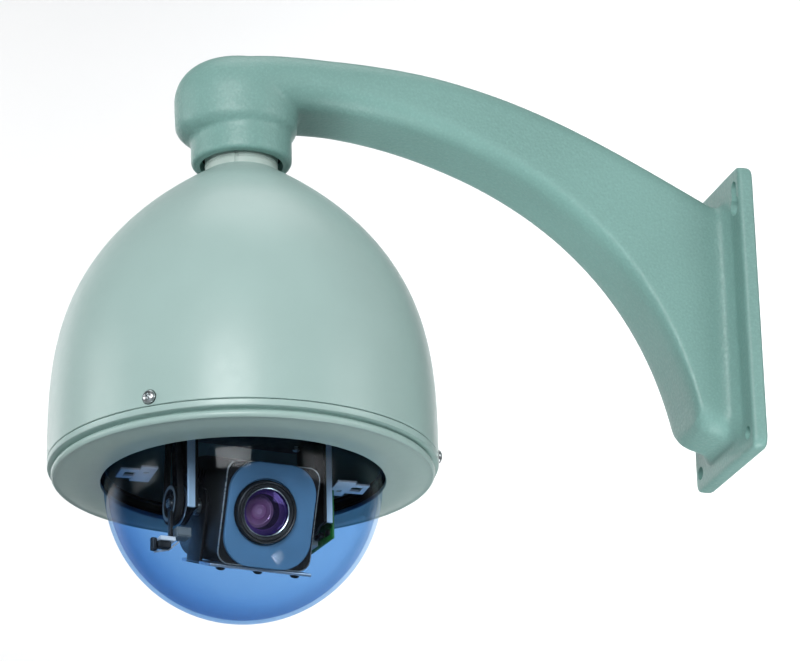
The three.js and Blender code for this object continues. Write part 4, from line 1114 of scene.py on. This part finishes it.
# ------------------------------------------------------------------ studio
def studio():
    floor_z = CAD_BOX[0][2] - 1.5
    floor = Part()
    reach, wall_y, curve, steps = 9000, 5000, 1500, 16
    line = [(-reach, 0), (wall_y - curve, 0)]
    for angle in [math.pi / 2 * i / steps for i in range(1, steps + 1)]:
        line.append((wall_y - curve + curve * math.sin(angle), curve - curve * math.cos(angle)))
    line.append((wall_y, reach))
    rows = [[Vector((x, y, z)) for x in (-reach, reach)] for y, z in line]
    bm = bmesh.new()
    verts = [[bm.verts.new(p) for p in row] for row in rows]
    for a, b in zip(verts, verts[1:]):
        bm.faces.new((a[0], a[1], b[1], b[0]))
    floor.take(bm)
    n = Nodes("studio_floor")
    tone = n.blend(n.span(n.noise(0.6, 3), 0, 1), (0.86, 0.87, 0.88, 1), (0.9, 0.9, 0.9, 1))
    material = n.surface(Base_Color=tone, Roughness=0.9)
    obj = floor.object("studio_floor", moved(0, 0, floor_z / MM), [material])
    soften(obj, 60)


def area_light(name, place, aim, size, power, spread, colour=(1, 1, 1)):
    data = bpy.data.lights.new(name, "AREA")
    data.shape = "SQUARE"
    data.size = size
    data.energy = power
    data.color = colour
    data.spread = math.radians(spread)
    light = bpy.data.objects.new(name, data)
    light.location = place
    light.rotation_euler = (Vector(aim) - Vector(place)).to_track_quat("-Z", "Y").to_euler()
    bpy.context.collection.objects.link(light)


def lights():
    dome, middle, arm = (-0.34, 0, -0.06), (-0.2, 0, 0.08), (-0.08, 0, 0.14)
    area_light("key", (-1.5, -2.9, 0.55), middle, 1.6, 13, 70)
    area_light("fill", (2.3, -2.2, 0.5), middle, 1.8, 4.5, 70)
    area_light("top", (-0.1, 0.1, 2.3), middle, 1.6, 2.8, 80)
    area_light("edge_left", (-2.6, 0.5, 0.5), middle, 1.2, 2, 60)
    area_light("below", (-1.2, -1.2, -0.9), dome, 1.4, 0.25, 50, (0.75, 0.88, 1.0))
    area_light("below_arm", (0.25, -0.2, -1.1), arm, 0.4, 0.32, 24, (0.95, 1.0, 1.0))
    area_light("backdrop_left", (-2.5, 2.4, 1.2), (-2.2, 5, 2.0), 3, 92, 110)
    area_light("backdrop_right", (3.0, 2.4, 1.2), (2.6, 5, 2.0), 3, 78, 110)
    world = bpy.data.worlds.new("studio_air")
    bpy.context.scene.world = world
    world.use_nodes = True
    sky = world.node_tree.nodes["Background"].inputs
    sky["Color"].default_value = (0.93, 0.975, 1.0, 1)
    sky["Strength"].default_value = 0.12
    bpy.context.scene.view_settings.view_transform = "Standard"


def camera():
    azimuth, pitch, roll = math.radians(17.0), math.radians(20.78), math.radians(1.3)
    place = (-0.87785, -2.10701, -0.76823)
    data = bpy.data.cameras.new("camera")
    data.lens = 162
    data.sensor_width = 36
    eye = bpy.data.objects.new("camera", data)
    turn = Matrix.Rotation(-azimuth, 4, "Z") @ Matrix.Rotation(math.pi / 2 + pitch, 4, "X")
    eye.matrix_world = moved(*place) @ turn @ Matrix.Rotation(-roll, 4, "Z")
    bpy.context.collection.objects.link(eye)
    bpy.context.scene.camera = eye


# ------------------------------------------------------------------ assembly
camera()
lights()
studio()
bracket()
neck_adapter()
shell()
trim_ring()
ring_screws()
bubble()
clamp_ring()
ear("mount_ear_right", 0)
ear("mount_ear_left", 180)
chassis()
pan_motor()
fan()
platform()
yokes()
tilt_drive()
limit_switch()
control_board()
camera_case()
camera_face()
lens()
cradle()
tilt_shafts()

SLOTS = {row["node"]: row["material_slot"] for row in frame["record"]["subparts"]}
for node, obj in frame["nodes"].items():
    obj.data.materials.clear()
    obj.data.materials.append(PALETTE[SLOTS[node]])
